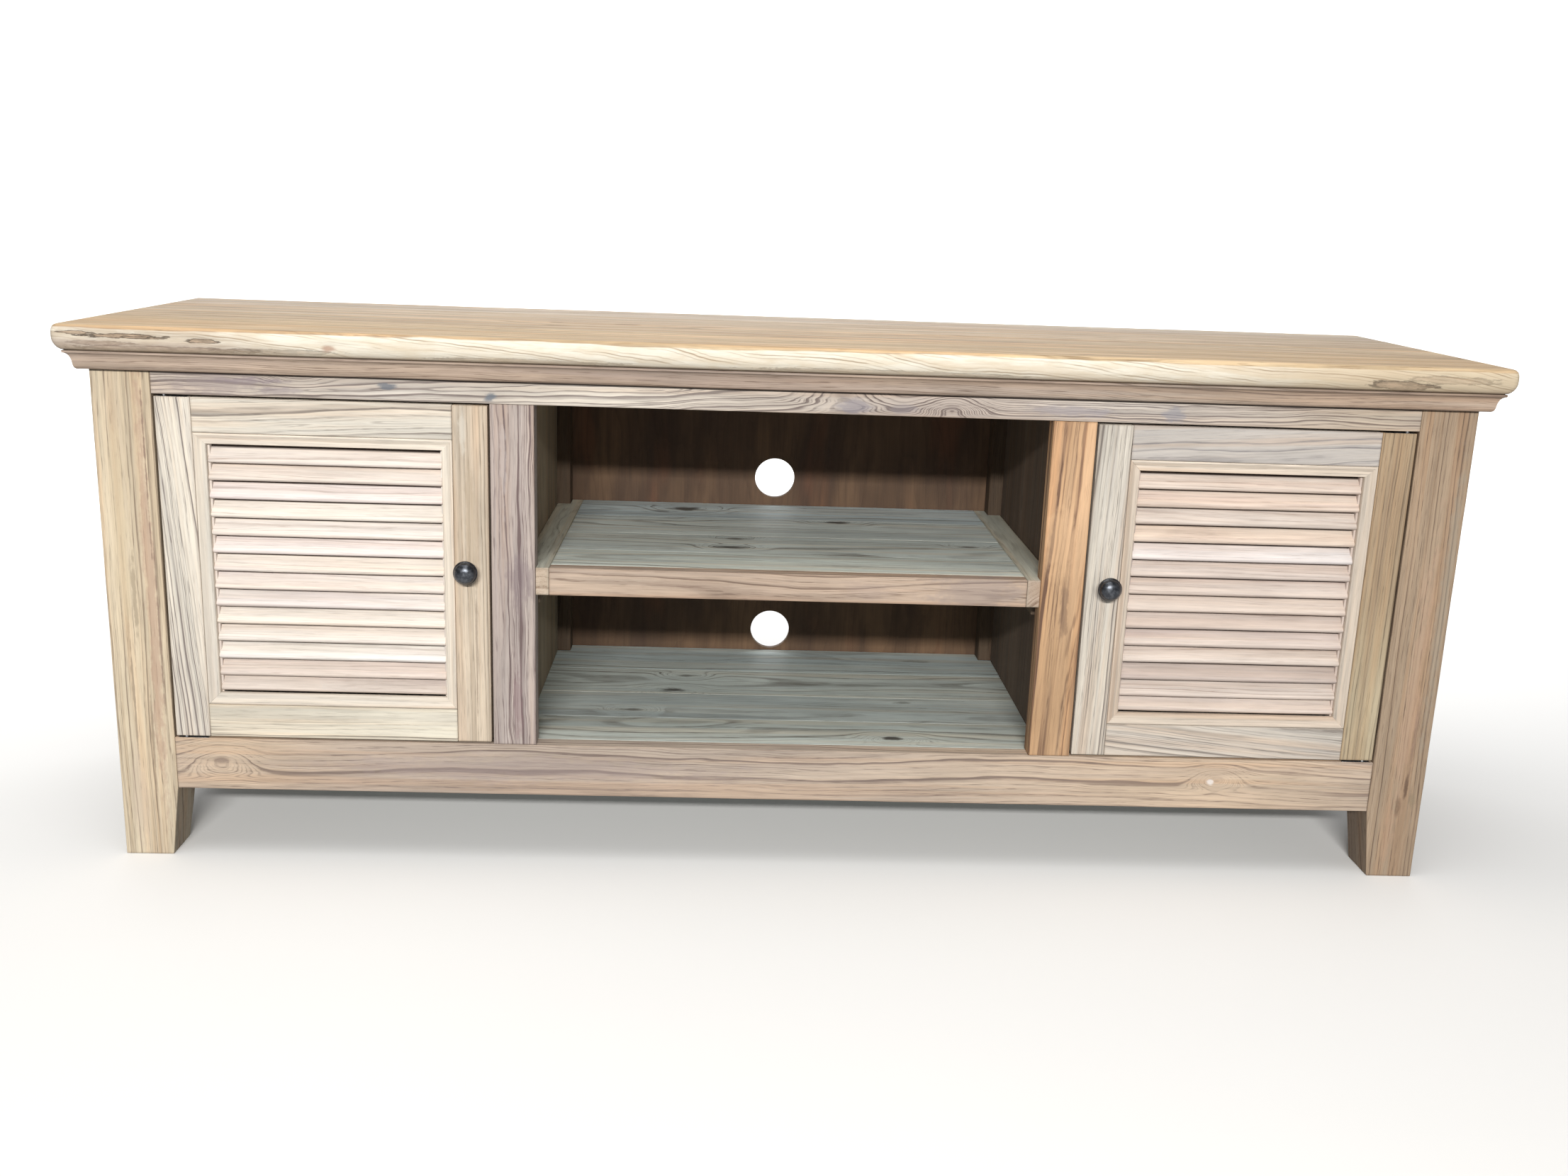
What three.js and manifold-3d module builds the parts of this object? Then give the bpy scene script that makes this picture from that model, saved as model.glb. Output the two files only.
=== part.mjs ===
// Low media cabinet in reclaimed elm: two louvred doors either side of an open,
// shelved centre bay, on four tapered legs, under a moulded top.
// Millimetres, +Z up, +Y to the back, +X to the viewer's right. The origin is the
// middle of the footprint of the whole cabinet, on the floor.
import * as THREE from "three";
import { mergeVertices } from "three/addons/utils/BufferGeometryUtils.js";
import Module from "manifold-3d";

const wasm = await Module();
wasm.setup();

// ---------------------------------------------------------------- dimensions
const W_ALL = 1600; // over the top board
const D_ALL = 450; // over the top board
const H_ALL = 620;
const OVER = 28; // top board beyond the body, front and sides
const GAP = 0.3; // between touching pieces

const WB = W_ALL - 2 * OVER; // body width over the legs
const HX = WB / 2; // 772
const FY = -D_ALL / 2 + OVER; // front face plane
const RY = 222; // rear face plane of the body

const TOP_T = 28.2; // top board
const Z_TOP0 = H_ALL - TOP_T; // underside of the top board

const LEG = 65; // square leg
const FOOT = 55; // leg width at the floor, tapered on the two inner faces
const Z_APRON0 = 84; // underside of the aprons, where the leg taper starts
const Z_APRON1 = 146.5; // top of the aprons, floor of the bays
const RAIL_T = 22; // thickness of the front rails, stiles and doors
const Z_RAIL0 = 545; // underside of the front top rail
const Z_CORNICE0 = 570.5; // underside of the cornice

const XL = HX - LEG; // inner face of the legs, 707
const STILE_IN = 290; // centre stile, inner edge
const STILE_OUT = 339; // centre stile, outer edge
const STILE_T = 25;
const PART_IN = 308; // partition panel, bay side
const PART_OUT = 323; // partition panel, cupboard side

const BACK_T = 8; // back panel
const YB = RY - BACK_T; // front face of the back panel, 214
const POST_D = 30; // rear posts and rear rails
const YP = YB - POST_D; // 184

const FLOOR_T = 18;
const SHELF_Z0 = 327;
const SHELF_Z1 = 359;
const SHELF_SETBACK = 4.5;
const SHELF_END = 15; // breadboard end, seen at the shelf's front edge

const HOLE_D = 55; // cable holes
const HOLE_X = -8;
const HOLE_Z = [177, 397.5];

// doors
const DG = 2.5; // gap round a door
const D_X0 = STILE_OUT + DG; // latch edge, 341.5
const D_X1 = XL - DG; // hinge edge, 704.5
const D_Z0 = Z_APRON1 + DG;
const D_Z1 = Z_RAIL0 - DG;
const D_FRAME = 39; // stile and rail width
const BEAD = 13; // width of the mitred inner moulding
const BEAD_T = 10; // depth of the moulding from the door's face
const BEAD_DROP = 5.5; // how far its inner edge lies behind the face
const SLATS = 14;
const SLAT_W = 25;
const SLAT_T = 5.6;
const SLAT_TILT = (36 * Math.PI) / 180; // from the vertical

// knob
const KNOB_X = 366;
const KNOB_Z = 355.5;
const KNOB_R = 13.8;
const KNOB_OUT = 25.5;

// knife hinges
const PIV_IN = 10; // pivot axis in from the door's hinge edge
const PIV_BACK = 5; // pivot axis behind the door's face
const LEAF_L = 34;
const LEAF_W = 11;
const LEAF_T = 2;
const PIN_R = 2;

// ---------------------------------------------------------------- colours
const elm = {
  top: [0xc9a67c, 0.75],
  cornice: [0xb99c82, 0.75],
  leg: [0xc3a67f, 0.78],
  rail: [0xcfbfa2, 0.78],
  pale: [0xd2c3a6, 0.8],
  slat: [0xdcc5ae, 0.8],
  bead: [0xd9c8ae, 0.8],
  tan: [0xbc9a72, 0.78],
  mauve: [0xa88a7c, 0.78],
  orange: [0xb98a5c, 0.78],
  grey: [0x9fa094, 0.82],
  dark: [0x4a342a, 0.85],
  inner: [0x8d7a66, 0.85],
};
const metal = {
  knob: [0x3a3d44, 0.38, 0.85],
  steel: [0x8f9196, 0.4, 0.9],
  zinc: [0xb0b2b4, 0.35, 0.9],
  black: [0x222224, 0.6, 0.1],
};

// ---------------------------------------------------------------- helpers
const group = new THREE.Group();

function strip(g) {
  let s = g.index ? g.toNonIndexed() : g.clone();
  const out = new THREE.BufferGeometry();
  out.setAttribute("position", s.getAttribute("position").clone());
  return out;
}

function solid(g) {
  const m = mergeVertices(strip(g), 1e-4);
  return new wasm.Manifold(
    new wasm.Mesh({
      numProp: 3,
      vertProperties: new Float32Array(m.attributes.position.array),
      triVerts: new Uint32Array(m.index.array),
    }),
  );
}

function geometry(manifold) {
  const m = manifold.getMesh();
  const g = new THREE.BufferGeometry();
  g.setAttribute("position", new THREE.BufferAttribute(new Float32Array(m.vertProperties), 3));
  g.setIndex(new THREE.BufferAttribute(new Uint32Array(m.triVerts), 1));
  return g;
}

function cut(g, ...tools) {
  let s = solid(g);
  for (const t of tools) s = s.subtract(solid(t));
  return geometry(s);
}

function join(...gs) {
  let s = solid(gs[0]);
  for (const t of gs.slice(1)) s = s.add(solid(t));
  return geometry(s);
}

function add(name, geo, [colour, roughness, metalness = 0]) {
  const g = geo.index ? geo.toNonIndexed() : geo;
  g.computeVertexNormals();
  const mesh = new THREE.Mesh(
    g,
    new THREE.MeshStandardMaterial({ color: colour, roughness, metalness }),
  );
  mesh.name = name;
  group.add(mesh);
  return mesh;
}

// a box by its corners; the sign sx mirrors it to the left (-1) or right (+1)
function box(x0, x1, y0, y1, z0, z1, sx = 1) {
  const g = new THREE.BoxGeometry(x1 - x0, y1 - y0, z1 - z0);
  g.translate((sx * (x0 + x1)) / 2, (y0 + y1) / 2, (z0 + z1) / 2);
  return g;
}

// a polygon of [x, y] points extruded upwards from z0 to z1
function prism(points, z0, z1) {
  const g = new THREE.ExtrudeGeometry(new THREE.Shape(points.map(([x, y]) => new THREE.Vector2(x, y))), {
    depth: z1 - z0,
    bevelEnabled: false,
  });
  g.translate(0, 0, z0);
  return g;
}

// mirrors a polygon's x to one side and keeps its winding
function side(points, sx) {
  return sx > 0 ? points : points.map(([x, y]) => [-x, y]).reverse();
}

// a moulding: the profile [[p, z], ...] (p = how far it stands out) runs from s0 to s1,
// both ends given as functions of p, so either end can be a mitre. place(p, s, z) puts
// each vertex in the world.
function moulding(profile, s0, s1, place) {
  const shape = new THREE.Shape(profile.map(([p, z]) => new THREE.Vector2(p, z)));
  const g = new THREE.ExtrudeGeometry(shape, { depth: 1, bevelEnabled: false });
  const pos = g.getAttribute("position");
  for (let i = 0; i < pos.count; i++) {
    const p = pos.getX(i),
      z = pos.getY(i),
      t = pos.getZ(i);
    const s = t < 0.5 ? s0(p) : s1(p);
    const [x, y, w] = place(p, s, z);
    pos.setXYZ(i, x, y, w);
  }
  const m = mergeVertices(strip(g), 1e-4);
  const made = new wasm.Mesh({
    numProp: 3,
    vertProperties: new Float32Array(m.attributes.position.array),
    triVerts: new Uint32Array(m.index.array),
  });
  if (new wasm.Manifold(made).volume() < 0) {
    const a = m.index.array;
    for (let i = 0; i < a.length; i += 3) [a[i + 1], a[i + 2]] = [a[i + 2], a[i + 1]];
  }
  return m;
}

// a closed ring of one profile round a rectangle, mitred at its corners. The profile
// is [[w, d], ...]: w in from the rectangle's edge, d back from the face.
function ring(x0, x1, z0, z1, y, profile) {
  const corners = [
    [x0, z0, 1, 1],
    [x1, z0, -1, 1],
    [x1, z1, -1, -1],
    [x0, z1, 1, -1],
  ];
  const v = [];
  for (const [cx, cz, dx, dz] of corners) for (const [w, d] of profile) v.push(cx + dx * w, y + d, cz + dz * w);
  const n = profile.length;
  const idx = [];
  for (let c = 0; c < 4; c++)
    for (let i = 0; i < n; i++) {
      const a = c * n + i,
        b = c * n + ((i + 1) % n),
        e = ((c + 1) % 4) * n + i,
        f = ((c + 1) % 4) * n + ((i + 1) % n);
      idx.push(a, b, f, a, f, e);
    }
  const g = new THREE.BufferGeometry();
  g.setAttribute("position", new THREE.BufferAttribute(new Float32Array(v), 3));
  g.setIndex(idx);
  const made = new wasm.Mesh({ numProp: 3, vertProperties: new Float32Array(v), triVerts: new Uint32Array(idx) });
  if (new wasm.Manifold(made).volume() < 0)
    for (let i = 0; i < idx.length; i += 3) [idx[i + 1], idx[i + 2]] = [idx[i + 2], idx[i + 1]];
  g.setIndex(idx);
  return g;
}

// a cylinder along z, standing on z0
function post(x, y, z0, z1, r, n = 20) {
  const g = new THREE.CylinderGeometry(r, r, z1 - z0, n);
  g.rotateX(Math.PI / 2);
  g.translate(x, y, (z0 + z1) / 2);
  return g;
}

// a cylinder along y
function dowel(x, y0, y1, z, r, n = 24) {
  const g = new THREE.CylinderGeometry(r, r, y1 - y0, n);
  g.translate(x, (y0 + y1) / 2, z);
  return g;
}

// ---------------------------------------------------------------- top and cornice
// Rounded nosing on the front and both ends, square at the back.
const nosing = [
  [-40, Z_TOP0],
  [18.5, Z_TOP0],
  [21.8, Z_TOP0 + 0.9],
  [25.4, Z_TOP0 + 4.8],
  [27.5, Z_TOP0 + 9.6],
  [28, Z_TOP0 + 14],
  [28, Z_TOP0 + 21.5],
  [27.1, Z_TOP0 + 25],
  [24.9, Z_TOP0 + 27.3],
  [21.5, H_ALL],
  [-40, H_ALL],
];
{
  // three mitred lengths of the nosing profile around a plain core
  const back = 225;
  const front = moulding(nosing, (p) => -(HX + p), (p) => HX + p, (p, s, z) => [s, FY - p, z]);
  const right = moulding(nosing, (p) => FY - p, () => back, (p, s, z) => [HX + p, s, z]);
  const left = moulding(nosing, (p) => FY - p, () => back, (p, s, z) => [-(HX + p), s, z]);
  const core = box(-(HX - 39), HX - 39, FY + 39, back, Z_TOP0, H_ALL);
  add("top_board", join(core, front, right, left), elm.top);
}

const Z_C1 = Z_TOP0 - GAP;
const cornice = [
  [GAP, Z_CORNICE0],
  [8.6, Z_CORNICE0],
  [10.8, Z_CORNICE0 + 1.6],
  [12.0, Z_CORNICE0 + 4.6],
  [12.3, Z_CORNICE0 + 8.0],
  [13.0, Z_CORNICE0 + 12.0],
  [14.8, Z_CORNICE0 + 15.4],
  [17.4, Z_CORNICE0 + 17.6],
  [19.4, Z_CORNICE0 + 18.4],
  [19.4, Z_C1],
  [GAP, Z_C1],
];
const MITRE = 0.25;
add(
  "cornice_front",
  moulding(cornice, (p) => -(HX + p) + MITRE, (p) => HX + p - MITRE, (p, s, z) => [s, FY - p, z]),
  elm.cornice,
);
add(
  "cornice_right",
  moulding(cornice, (p) => FY - p + MITRE, () => RY, (p, s, z) => [HX + p, s, z]),
  elm.cornice,
);
add(
  "cornice_left",
  moulding(cornice, (p) => FY - p + MITRE, () => RY, (p, s, z) => [-(HX + p), s, z]),
  elm.cornice,
);

// ---------------------------------------------------------------- legs
// Square above the apron line; below it the two inner faces taper towards the foot.
function leg(sx, sy) {
  const x1 = HX,
    x0 = HX - LEG;
  const yo = sy < 0 ? FY : RY; // outer face
  const yi = yo - sy * LEG; // inner face
  const body = box(x0, x1, Math.min(yo, yi), Math.max(yo, yi), Z_APRON0, Z_TOP0 - GAP, sx);
  const foot = new THREE.BoxGeometry(1, 1, 1);
  const pos = foot.getAttribute("position");
  for (let i = 0; i < pos.count; i++) {
    const low = pos.getZ(i) < 0;
    const w = low ? FOOT : LEG;
    const x = pos.getX(i) > 0 ? x1 : x1 - w;
    const outer = pos.getY(i) * sy > 0;
    const y = outer ? yo : yo - sy * w;
    pos.setXYZ(i, x, y, low ? 0 : Z_APRON0);
  }
  if (sx < 0) {
    for (let i = 0; i < pos.count; i++) pos.setX(i, -pos.getX(i));
    const a = foot.index.array;
    for (let i = 0; i < a.length; i += 3) [a[i + 1], a[i + 2]] = [a[i + 2], a[i + 1]];
  }
  return join(body, foot);
}
add("leg_front_left", leg(-1, -1), elm.leg);
add("leg_front_right", leg(1, -1), elm.leg);
add("leg_rear_left", leg(-1, 1), elm.leg);
add("leg_rear_right", leg(1, 1), elm.leg);

// ---------------------------------------------------------------- hinge positions
const PX = D_X1 - PIV_IN; // 694.5
const PY = FY + PIV_BACK; // -192
const LX1 = D_X1 - 1.5; // leaf, outer end
const LX0 = LX1 - LEAF_L; // 669
const LY0 = PY - 3.5;
const LY1 = LY0 + LEAF_W;

// pocket for a leaf, a little larger than the leaf
const pocket = (sx, z0, z1) => box(LX0 - GAP, LX1 + GAP, LY0 - GAP, LY1 + GAP, z0, z1, sx);

// ---------------------------------------------------------------- front frame
const X_RAIL = XL - GAP;
add(
  "front_top_rail",
  cut(
    box(-X_RAIL, X_RAIL, FY, FY + RAIL_T, Z_RAIL0, Z_TOP0 - GAP),
    pocket(-1, Z_RAIL0 - 1, Z_RAIL0 + LEAF_T + GAP),
    pocket(1, Z_RAIL0 - 1, Z_RAIL0 + LEAF_T + GAP),
  ),
  elm.rail,
);
add(
  "front_bottom_rail",
  cut(
    box(-X_RAIL, X_RAIL, FY, FY + RAIL_T, Z_APRON0, Z_APRON1),
    pocket(-1, Z_APRON1 - LEAF_T - GAP, Z_APRON1 + 1),
    pocket(1, Z_APRON1 - LEAF_T - GAP, Z_APRON1 + 1),
  ),
  elm.tan,
);
for (const [name, sx, finish] of [
  ["centre_stile_left", -1, elm.mauve],
  ["centre_stile_right", 1, elm.orange],
])
  add(name, box(STILE_IN, STILE_OUT, FY, FY + STILE_T, Z_APRON1 + GAP, Z_RAIL0 - GAP, sx), finish);

// ---------------------------------------------------------------- sides
const SIDE_X1 = HX - 5; // outer face of the side rails
const SIDE_X0 = SIDE_X1 - RAIL_T;
const SY0 = FY + LEG + GAP;
const SY1 = RY - LEG - GAP;
for (const [tag, sx] of [
  ["left", -1],
  ["right", 1],
]) {
  add("side_top_rail_" + tag, box(SIDE_X0, SIDE_X1, SY0, SY1, 518, Z_TOP0 - GAP, sx), elm.rail);
  add("side_bottom_rail_" + tag, box(SIDE_X0, SIDE_X1, SY0, SY1, Z_APRON0, Z_APRON1, sx), elm.tan);
  add("side_panel_" + tag, box(SIDE_X0 + 2, SIDE_X1 - 7, SY0, SY1, Z_APRON1 + GAP, 518 - GAP, sx), elm.pale);
}

// ---------------------------------------------------------------- carcass
add(
  "bottom_board",
  prism(
    [
      [-(XL - GAP), FY + RAIL_T + GAP],
      [XL - GAP, FY + RAIL_T + GAP],
      [XL - GAP, FY + LEG + GAP],
      [SIDE_X0 - GAP, FY + LEG + GAP],
      [SIDE_X0 - GAP, RY - LEG - GAP],
      [XL - GAP, RY - LEG - GAP],
      [XL - GAP, YB - GAP],
      [-(XL - GAP), YB - GAP],
      [-(XL - GAP), RY - LEG - GAP],
      [-(SIDE_X0 - GAP), RY - LEG - GAP],
      [-(SIDE_X0 - GAP), FY + LEG + GAP],
      [-(XL - GAP), FY + LEG + GAP],
    ],
    Z_APRON1 - FLOOR_T,
    Z_APRON1,
  ),
  elm.grey,
);
const PZ0 = Z_APRON1 + GAP;
for (const [tag, sx] of [
  ["left", -1],
  ["right", 1],
]) {
  add("partition_" + tag, box(PART_IN, PART_OUT, FY + STILE_T + GAP, YP - GAP, PZ0, Z_TOP0 - GAP, sx), elm.inner);
  add("back_post_" + tag, box(STILE_IN, STILE_OUT, YP, YB - GAP, PZ0, Z_RAIL0 - GAP, sx), elm.inner);
}
add("back_top_rail", box(-X_RAIL, X_RAIL, YP, YB - GAP, Z_RAIL0, Z_TOP0 - GAP), elm.inner);
add("back_bottom_rail", box(-X_RAIL, X_RAIL, YP, YB - GAP, Z_APRON0, Z_APRON1 - FLOOR_T - GAP), elm.inner);
add(
  "back_panel",
  cut(
    box(-X_RAIL, X_RAIL, YB, RY, Z_APRON0 + 4, Z_TOP0 - GAP),
    ...HOLE_Z.map((z) => dowel(HOLE_X, YB - 2, RY + 2, z, HOLE_D / 2, 40)),
  ),
  elm.dark,
);

// ---------------------------------------------------------------- centre shelf
// The board sits between two breadboard ends, notched round the front stiles and
// the rear posts.
const S_Y0 = FY + SHELF_SETBACK;
const S_Y1 = YB - GAP;
const S_XB = STILE_IN - SHELF_END; // where the end meets the board, 275
add("shelf_board", box(-(S_XB - GAP / 2), S_XB - GAP / 2, S_Y0, S_Y1, SHELF_Z0, SHELF_Z1), elm.grey);
for (const [tag, sx] of [
  ["left", -1],
  ["right", 1],
]) {
  const e = [
    [S_XB + GAP / 2, S_Y0],
    [STILE_IN - GAP, S_Y0],
    [STILE_IN - GAP, FY + STILE_T + GAP],
    [PART_IN - GAP, FY + STILE_T + GAP],
    [PART_IN - GAP, YP - GAP],
    [STILE_IN - GAP, YP - GAP],
    [STILE_IN - GAP, S_Y1],
    [S_XB + GAP / 2, S_Y1],
  ];
  add("shelf_end_" + tag, prism(side(e, sx), SHELF_Z0, SHELF_Z1), elm.grey);
  add(
    "shelf_cleat_" + tag,
    box(STILE_IN, PART_IN - GAP, FY + STILE_T + 20, YP - 20, SHELF_Z0 - 20, SHELF_Z0 - GAP, sx),
    elm.inner,
  );
}

// ---------------------------------------------------------------- catches
// A magnetic catch behind the top rail at each latch edge; its foot stands behind
// the door and stops it.
const CX0 = 352,
  CX1 = 392;
for (const [tag, sx] of [
  ["left", -1],
  ["right", 1],
]) {
  const back = FY + RAIL_T;
  const c = [
    [back + GAP, 572],
    [back + GAP, Z_RAIL0 + 1],
    [back + 2.1, Z_RAIL0 + 1],
    [back + 2.1, 522],
    [back + 15, 522],
    [back + 15, 572],
  ];
  const g = new THREE.ExtrudeGeometry(new THREE.Shape(c.map(([y, z]) => new THREE.Vector2(y, z))), {
    depth: CX1 - CX0,
    bevelEnabled: false,
  });
  // local x -> world y, local y -> world z, local z -> world x
  g.applyMatrix4(new THREE.Matrix4().set(0, 0, 1, 0, 1, 0, 0, 0, 0, 1, 0, 0, 0, 0, 0, 1));
  g.translate(sx > 0 ? CX0 : -CX1, 0, 0);
  add("door_catch_" + tag, geometry(solid(g)), metal.black);
}

// ---------------------------------------------------------------- doors
const knobProfile = [
  [0, 0],
  [8.2, 0],
  [8.8, 0.7],
  [8.6, 2.0],
  [6.2, 3.0],
  [4.9, 4.6],
  [4.7, 7.4],
  [5.6, 9.4],
  [9.0, 10.9],
  [12.6, 12.2],
  [13.7, 13.7],
  [KNOB_R, 15.0],
  [13.2, 16.5],
  [12.1, 17.8],
  [11.7, 18.6],
  [11.2, 20.1],
  [9.2, 22.7],
  [6.2, 24.5],
  [3.1, 25.3],
  [0, KNOB_OUT],
];

for (const [tag, sx, hs, ls, tr, br] of [
  ["left", -1, elm.pale, elm.tan, elm.rail, elm.pale],
  ["right", 1, elm.tan, elm.pale, elm.mauve, elm.rail],
]) {
  const y0 = FY,
    y1 = FY + RAIL_T;
  const xi = D_X0 + D_FRAME; // inner edge of the latch stile
  const xo = D_X1 - D_FRAME; // inner edge of the hinge stile
  const zi = D_Z0 + D_FRAME;
  const zo = D_Z1 - D_FRAME;

  // frame: stiles run the full height, rails between them
  add(
    "door_" + tag + "_hinge_stile",
    cut(
      box(xo, D_X1, y0, y1, D_Z0, D_Z1, sx),
      pocket(sx, D_Z0 - 1, D_Z0 + LEAF_T + GAP),
      pocket(sx, D_Z1 - LEAF_T - GAP, D_Z1 + 1),
      post(sx * PX, PY, D_Z0 - 1, D_Z0 + LEAF_T + 2.5, PIN_R + 0.8),
      post(sx * PX, PY, D_Z1 - LEAF_T - 2.5, D_Z1 + 1, PIN_R + 0.8),
    ),
    hs,
  );
  add(
    "door_" + tag + "_latch_stile",
    cut(box(D_X0, xi, y0, y1, D_Z0, D_Z1, sx), dowel(sx * KNOB_X, y0 - 2, y1 + 2, KNOB_Z, 2.4)),
    ls,
  );
  add("door_" + tag + "_top_rail", box(xi + GAP, xo - GAP, y0, y1, zo, D_Z1, sx), tr);
  add("door_" + tag + "_bottom_rail", box(xi + GAP, xo - GAP, y0, y1, D_Z0, zi, sx), br);

  // mitred inner moulding: a rounded outer edge, a slope back, then a flat band round the louvres
  const xa = Math.min(sx * (xi + GAP), sx * (xo - GAP)),
    xb = Math.max(sx * (xi + GAP), sx * (xo - GAP));
  add(
    "door_" + tag + "_bead",
    ring(xa, xb, zi + GAP, zo - GAP, y0, [
      [0, 1.0],
      [0.9, 0],
      [2.0, 0.1],
      [3.0, 0.8],
      [6.4, 3.2],
      [BEAD - 1.4, 3.6],
      [BEAD - GAP, 4.8],
      [BEAD - GAP, BEAD_T],
      [0, BEAD_T],
    ]),
    elm.bead,
  );

  // louvre insert: slats let into two side strips that lie behind the moulding
  const lx0 = xi + GAP,
    lx1 = xo - GAP;
  const lz0 = zi + GAP,
    lz1 = zo - GAP;
  const field0 = zi + BEAD,
    field1 = zo - BEAD;
  const pitch = (field1 - field0) / SLATS;
  const pieces = [
    box(lx0, lx0 + BEAD + 2, y0 + BEAD_T + GAP, y1 - 0.5, lz0, lz1, sx),
    box(lx1 - BEAD - 2, lx1, y0 + BEAD_T + GAP, y1 - 0.5, lz0, lz1, sx),
  ];
  const hw = SLAT_W / 2,
    ht = SLAT_T / 2,
    r = 1.6;
  for (let i = 0; i < SLATS; i++) {
    // rounded section, long side upright, then tilted so that its top leans back
    const sec = new THREE.Shape(
      [
        [-ht + r, -hw],
        [ht - r, -hw],
        [ht, -hw + r],
        [ht, hw - r],
        [ht - r, hw],
        [-ht + r, hw],
        [-ht, hw - r],
        [-ht, -hw + r],
      ].map(([a, b]) => new THREE.Vector2(a, b)),
    );
    const x0 = xi + BEAD + 0.1,
      x1 = xo - BEAD - 0.1;
    const g = new THREE.ExtrudeGeometry(sec, { depth: x1 - x0, bevelEnabled: false });
    g.applyMatrix4(new THREE.Matrix4().set(0, 0, 1, 0, 1, 0, 0, 0, 0, 1, 0, 0, 0, 0, 0, 1));
    g.translate(-(x1 - x0) / 2, 0, 0);
    g.rotateX(-SLAT_TILT);
    g.translate((sx * (x0 + x1)) / 2, y0 + BEAD_DROP + 9.0, field0 + pitch * (i + 0.5));
    pieces.push(g);
  }
  // the first and last slats are trimmed where they pass behind the moulding
  add(
    "door_" + tag + "_louvre",
    cut(
      join(...pieces),
      box(lx0 - 1, lx1 + 1, y0 - 1, y0 + BEAD_T + GAP, field1 - 0.05, lz1 + 4, sx),
      box(lx0 - 1, lx1 + 1, y0 - 1, y0 + BEAD_T + GAP, lz0 - 4, field0 + 0.05, sx),
    ),
    elm.slat,
  );

  // turned knob and the screw that holds it from behind
  const lathe = new THREE.LatheGeometry(
    knobProfile.map(([r0, y]) => new THREE.Vector2(r0, y)),
    28,
  );
  lathe.rotateX(Math.PI);
  lathe.translate(sx * KNOB_X, y0 - GAP, KNOB_Z);
  const knob = solid(lathe);
  add(
    "door_" + tag + "_knob",
    geometry(knob.subtract(solid(dowel(sx * KNOB_X, y0 - 12, y0 + 1, KNOB_Z, 2.2, 16)))),
    metal.knob,
  );
  add(
    "door_" + tag + "_knob_screw",
    join(
      dowel(sx * KNOB_X, y0 - 11, y1 + 0.6, KNOB_Z, 1.9, 16),
      dowel(sx * KNOB_X, y1 + GAP, y1 + 2.5, KNOB_Z, 4.2, 24),
    ),
    metal.zinc,
  );

  // strike plate on the back of the latch stile, facing the catch
  add("door_" + tag + "_strike", box(CX0 + 6, CX1 - 14, y1 + GAP, y1 + 1.6, 525, D_Z1 - 1, sx), metal.zinc);

  // knife hinges: a leaf with a fixed pin in the cabinet, a drilled leaf on the door
  const leaf = (z0, z1) => box(LX0, LX1, LY0, LY1, z0, z1, sx);
  add(
    "hinge_" + tag + "_upper_cabinet_leaf",
    join(leaf(Z_RAIL0, Z_RAIL0 + LEAF_T), post(sx * PX, PY, D_Z1 - LEAF_T, Z_RAIL0 + 1, PIN_R)),
    metal.steel,
  );
  add(
    "hinge_" + tag + "_lower_cabinet_leaf",
    join(leaf(Z_APRON1 - LEAF_T, Z_APRON1), post(sx * PX, PY, Z_APRON1 - 1, D_Z0 + LEAF_T, PIN_R)),
    metal.steel,
  );
  for (const [where, z0] of [
    ["upper", D_Z1 - LEAF_T],
    ["lower", D_Z0],
  ])
    add(
      "door_" + tag + "_hinge_leaf_" + where,
      cut(leaf(z0, z0 + LEAF_T), post(sx * PX, PY, z0 - 1, z0 + LEAF_T + 1, PIN_R + GAP)),
      metal.steel,
    );
}

export default group;
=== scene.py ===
import math
import random

import bmesh
import bpy
import numpy as np
from mathutils import Matrix, Vector, noise


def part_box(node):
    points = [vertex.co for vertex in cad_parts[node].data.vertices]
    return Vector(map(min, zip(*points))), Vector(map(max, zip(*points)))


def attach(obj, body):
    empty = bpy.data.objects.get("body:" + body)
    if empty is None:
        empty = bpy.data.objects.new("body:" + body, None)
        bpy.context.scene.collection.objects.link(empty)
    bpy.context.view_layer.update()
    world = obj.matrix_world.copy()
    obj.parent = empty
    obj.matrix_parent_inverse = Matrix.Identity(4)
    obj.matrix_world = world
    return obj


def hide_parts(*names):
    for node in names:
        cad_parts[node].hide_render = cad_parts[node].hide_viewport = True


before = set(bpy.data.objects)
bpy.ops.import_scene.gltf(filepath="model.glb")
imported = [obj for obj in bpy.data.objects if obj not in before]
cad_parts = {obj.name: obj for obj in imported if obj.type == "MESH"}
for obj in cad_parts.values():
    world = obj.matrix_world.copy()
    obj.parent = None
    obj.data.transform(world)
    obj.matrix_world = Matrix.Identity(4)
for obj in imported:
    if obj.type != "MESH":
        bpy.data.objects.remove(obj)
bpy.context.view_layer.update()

scene = bpy.context.scene
coll = scene.collection

# ------------------------------------------------------------------ sizes (metres)
HX = 0.772          # half the body's width
FY = -0.197         # front face plane
BACK = 0.225        # rear edge of the top
ZT0, ZT1 = 0.5918, 0.620
ZC0, ZC1 = 0.5705, 0.5915
SLATS = 14


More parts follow.
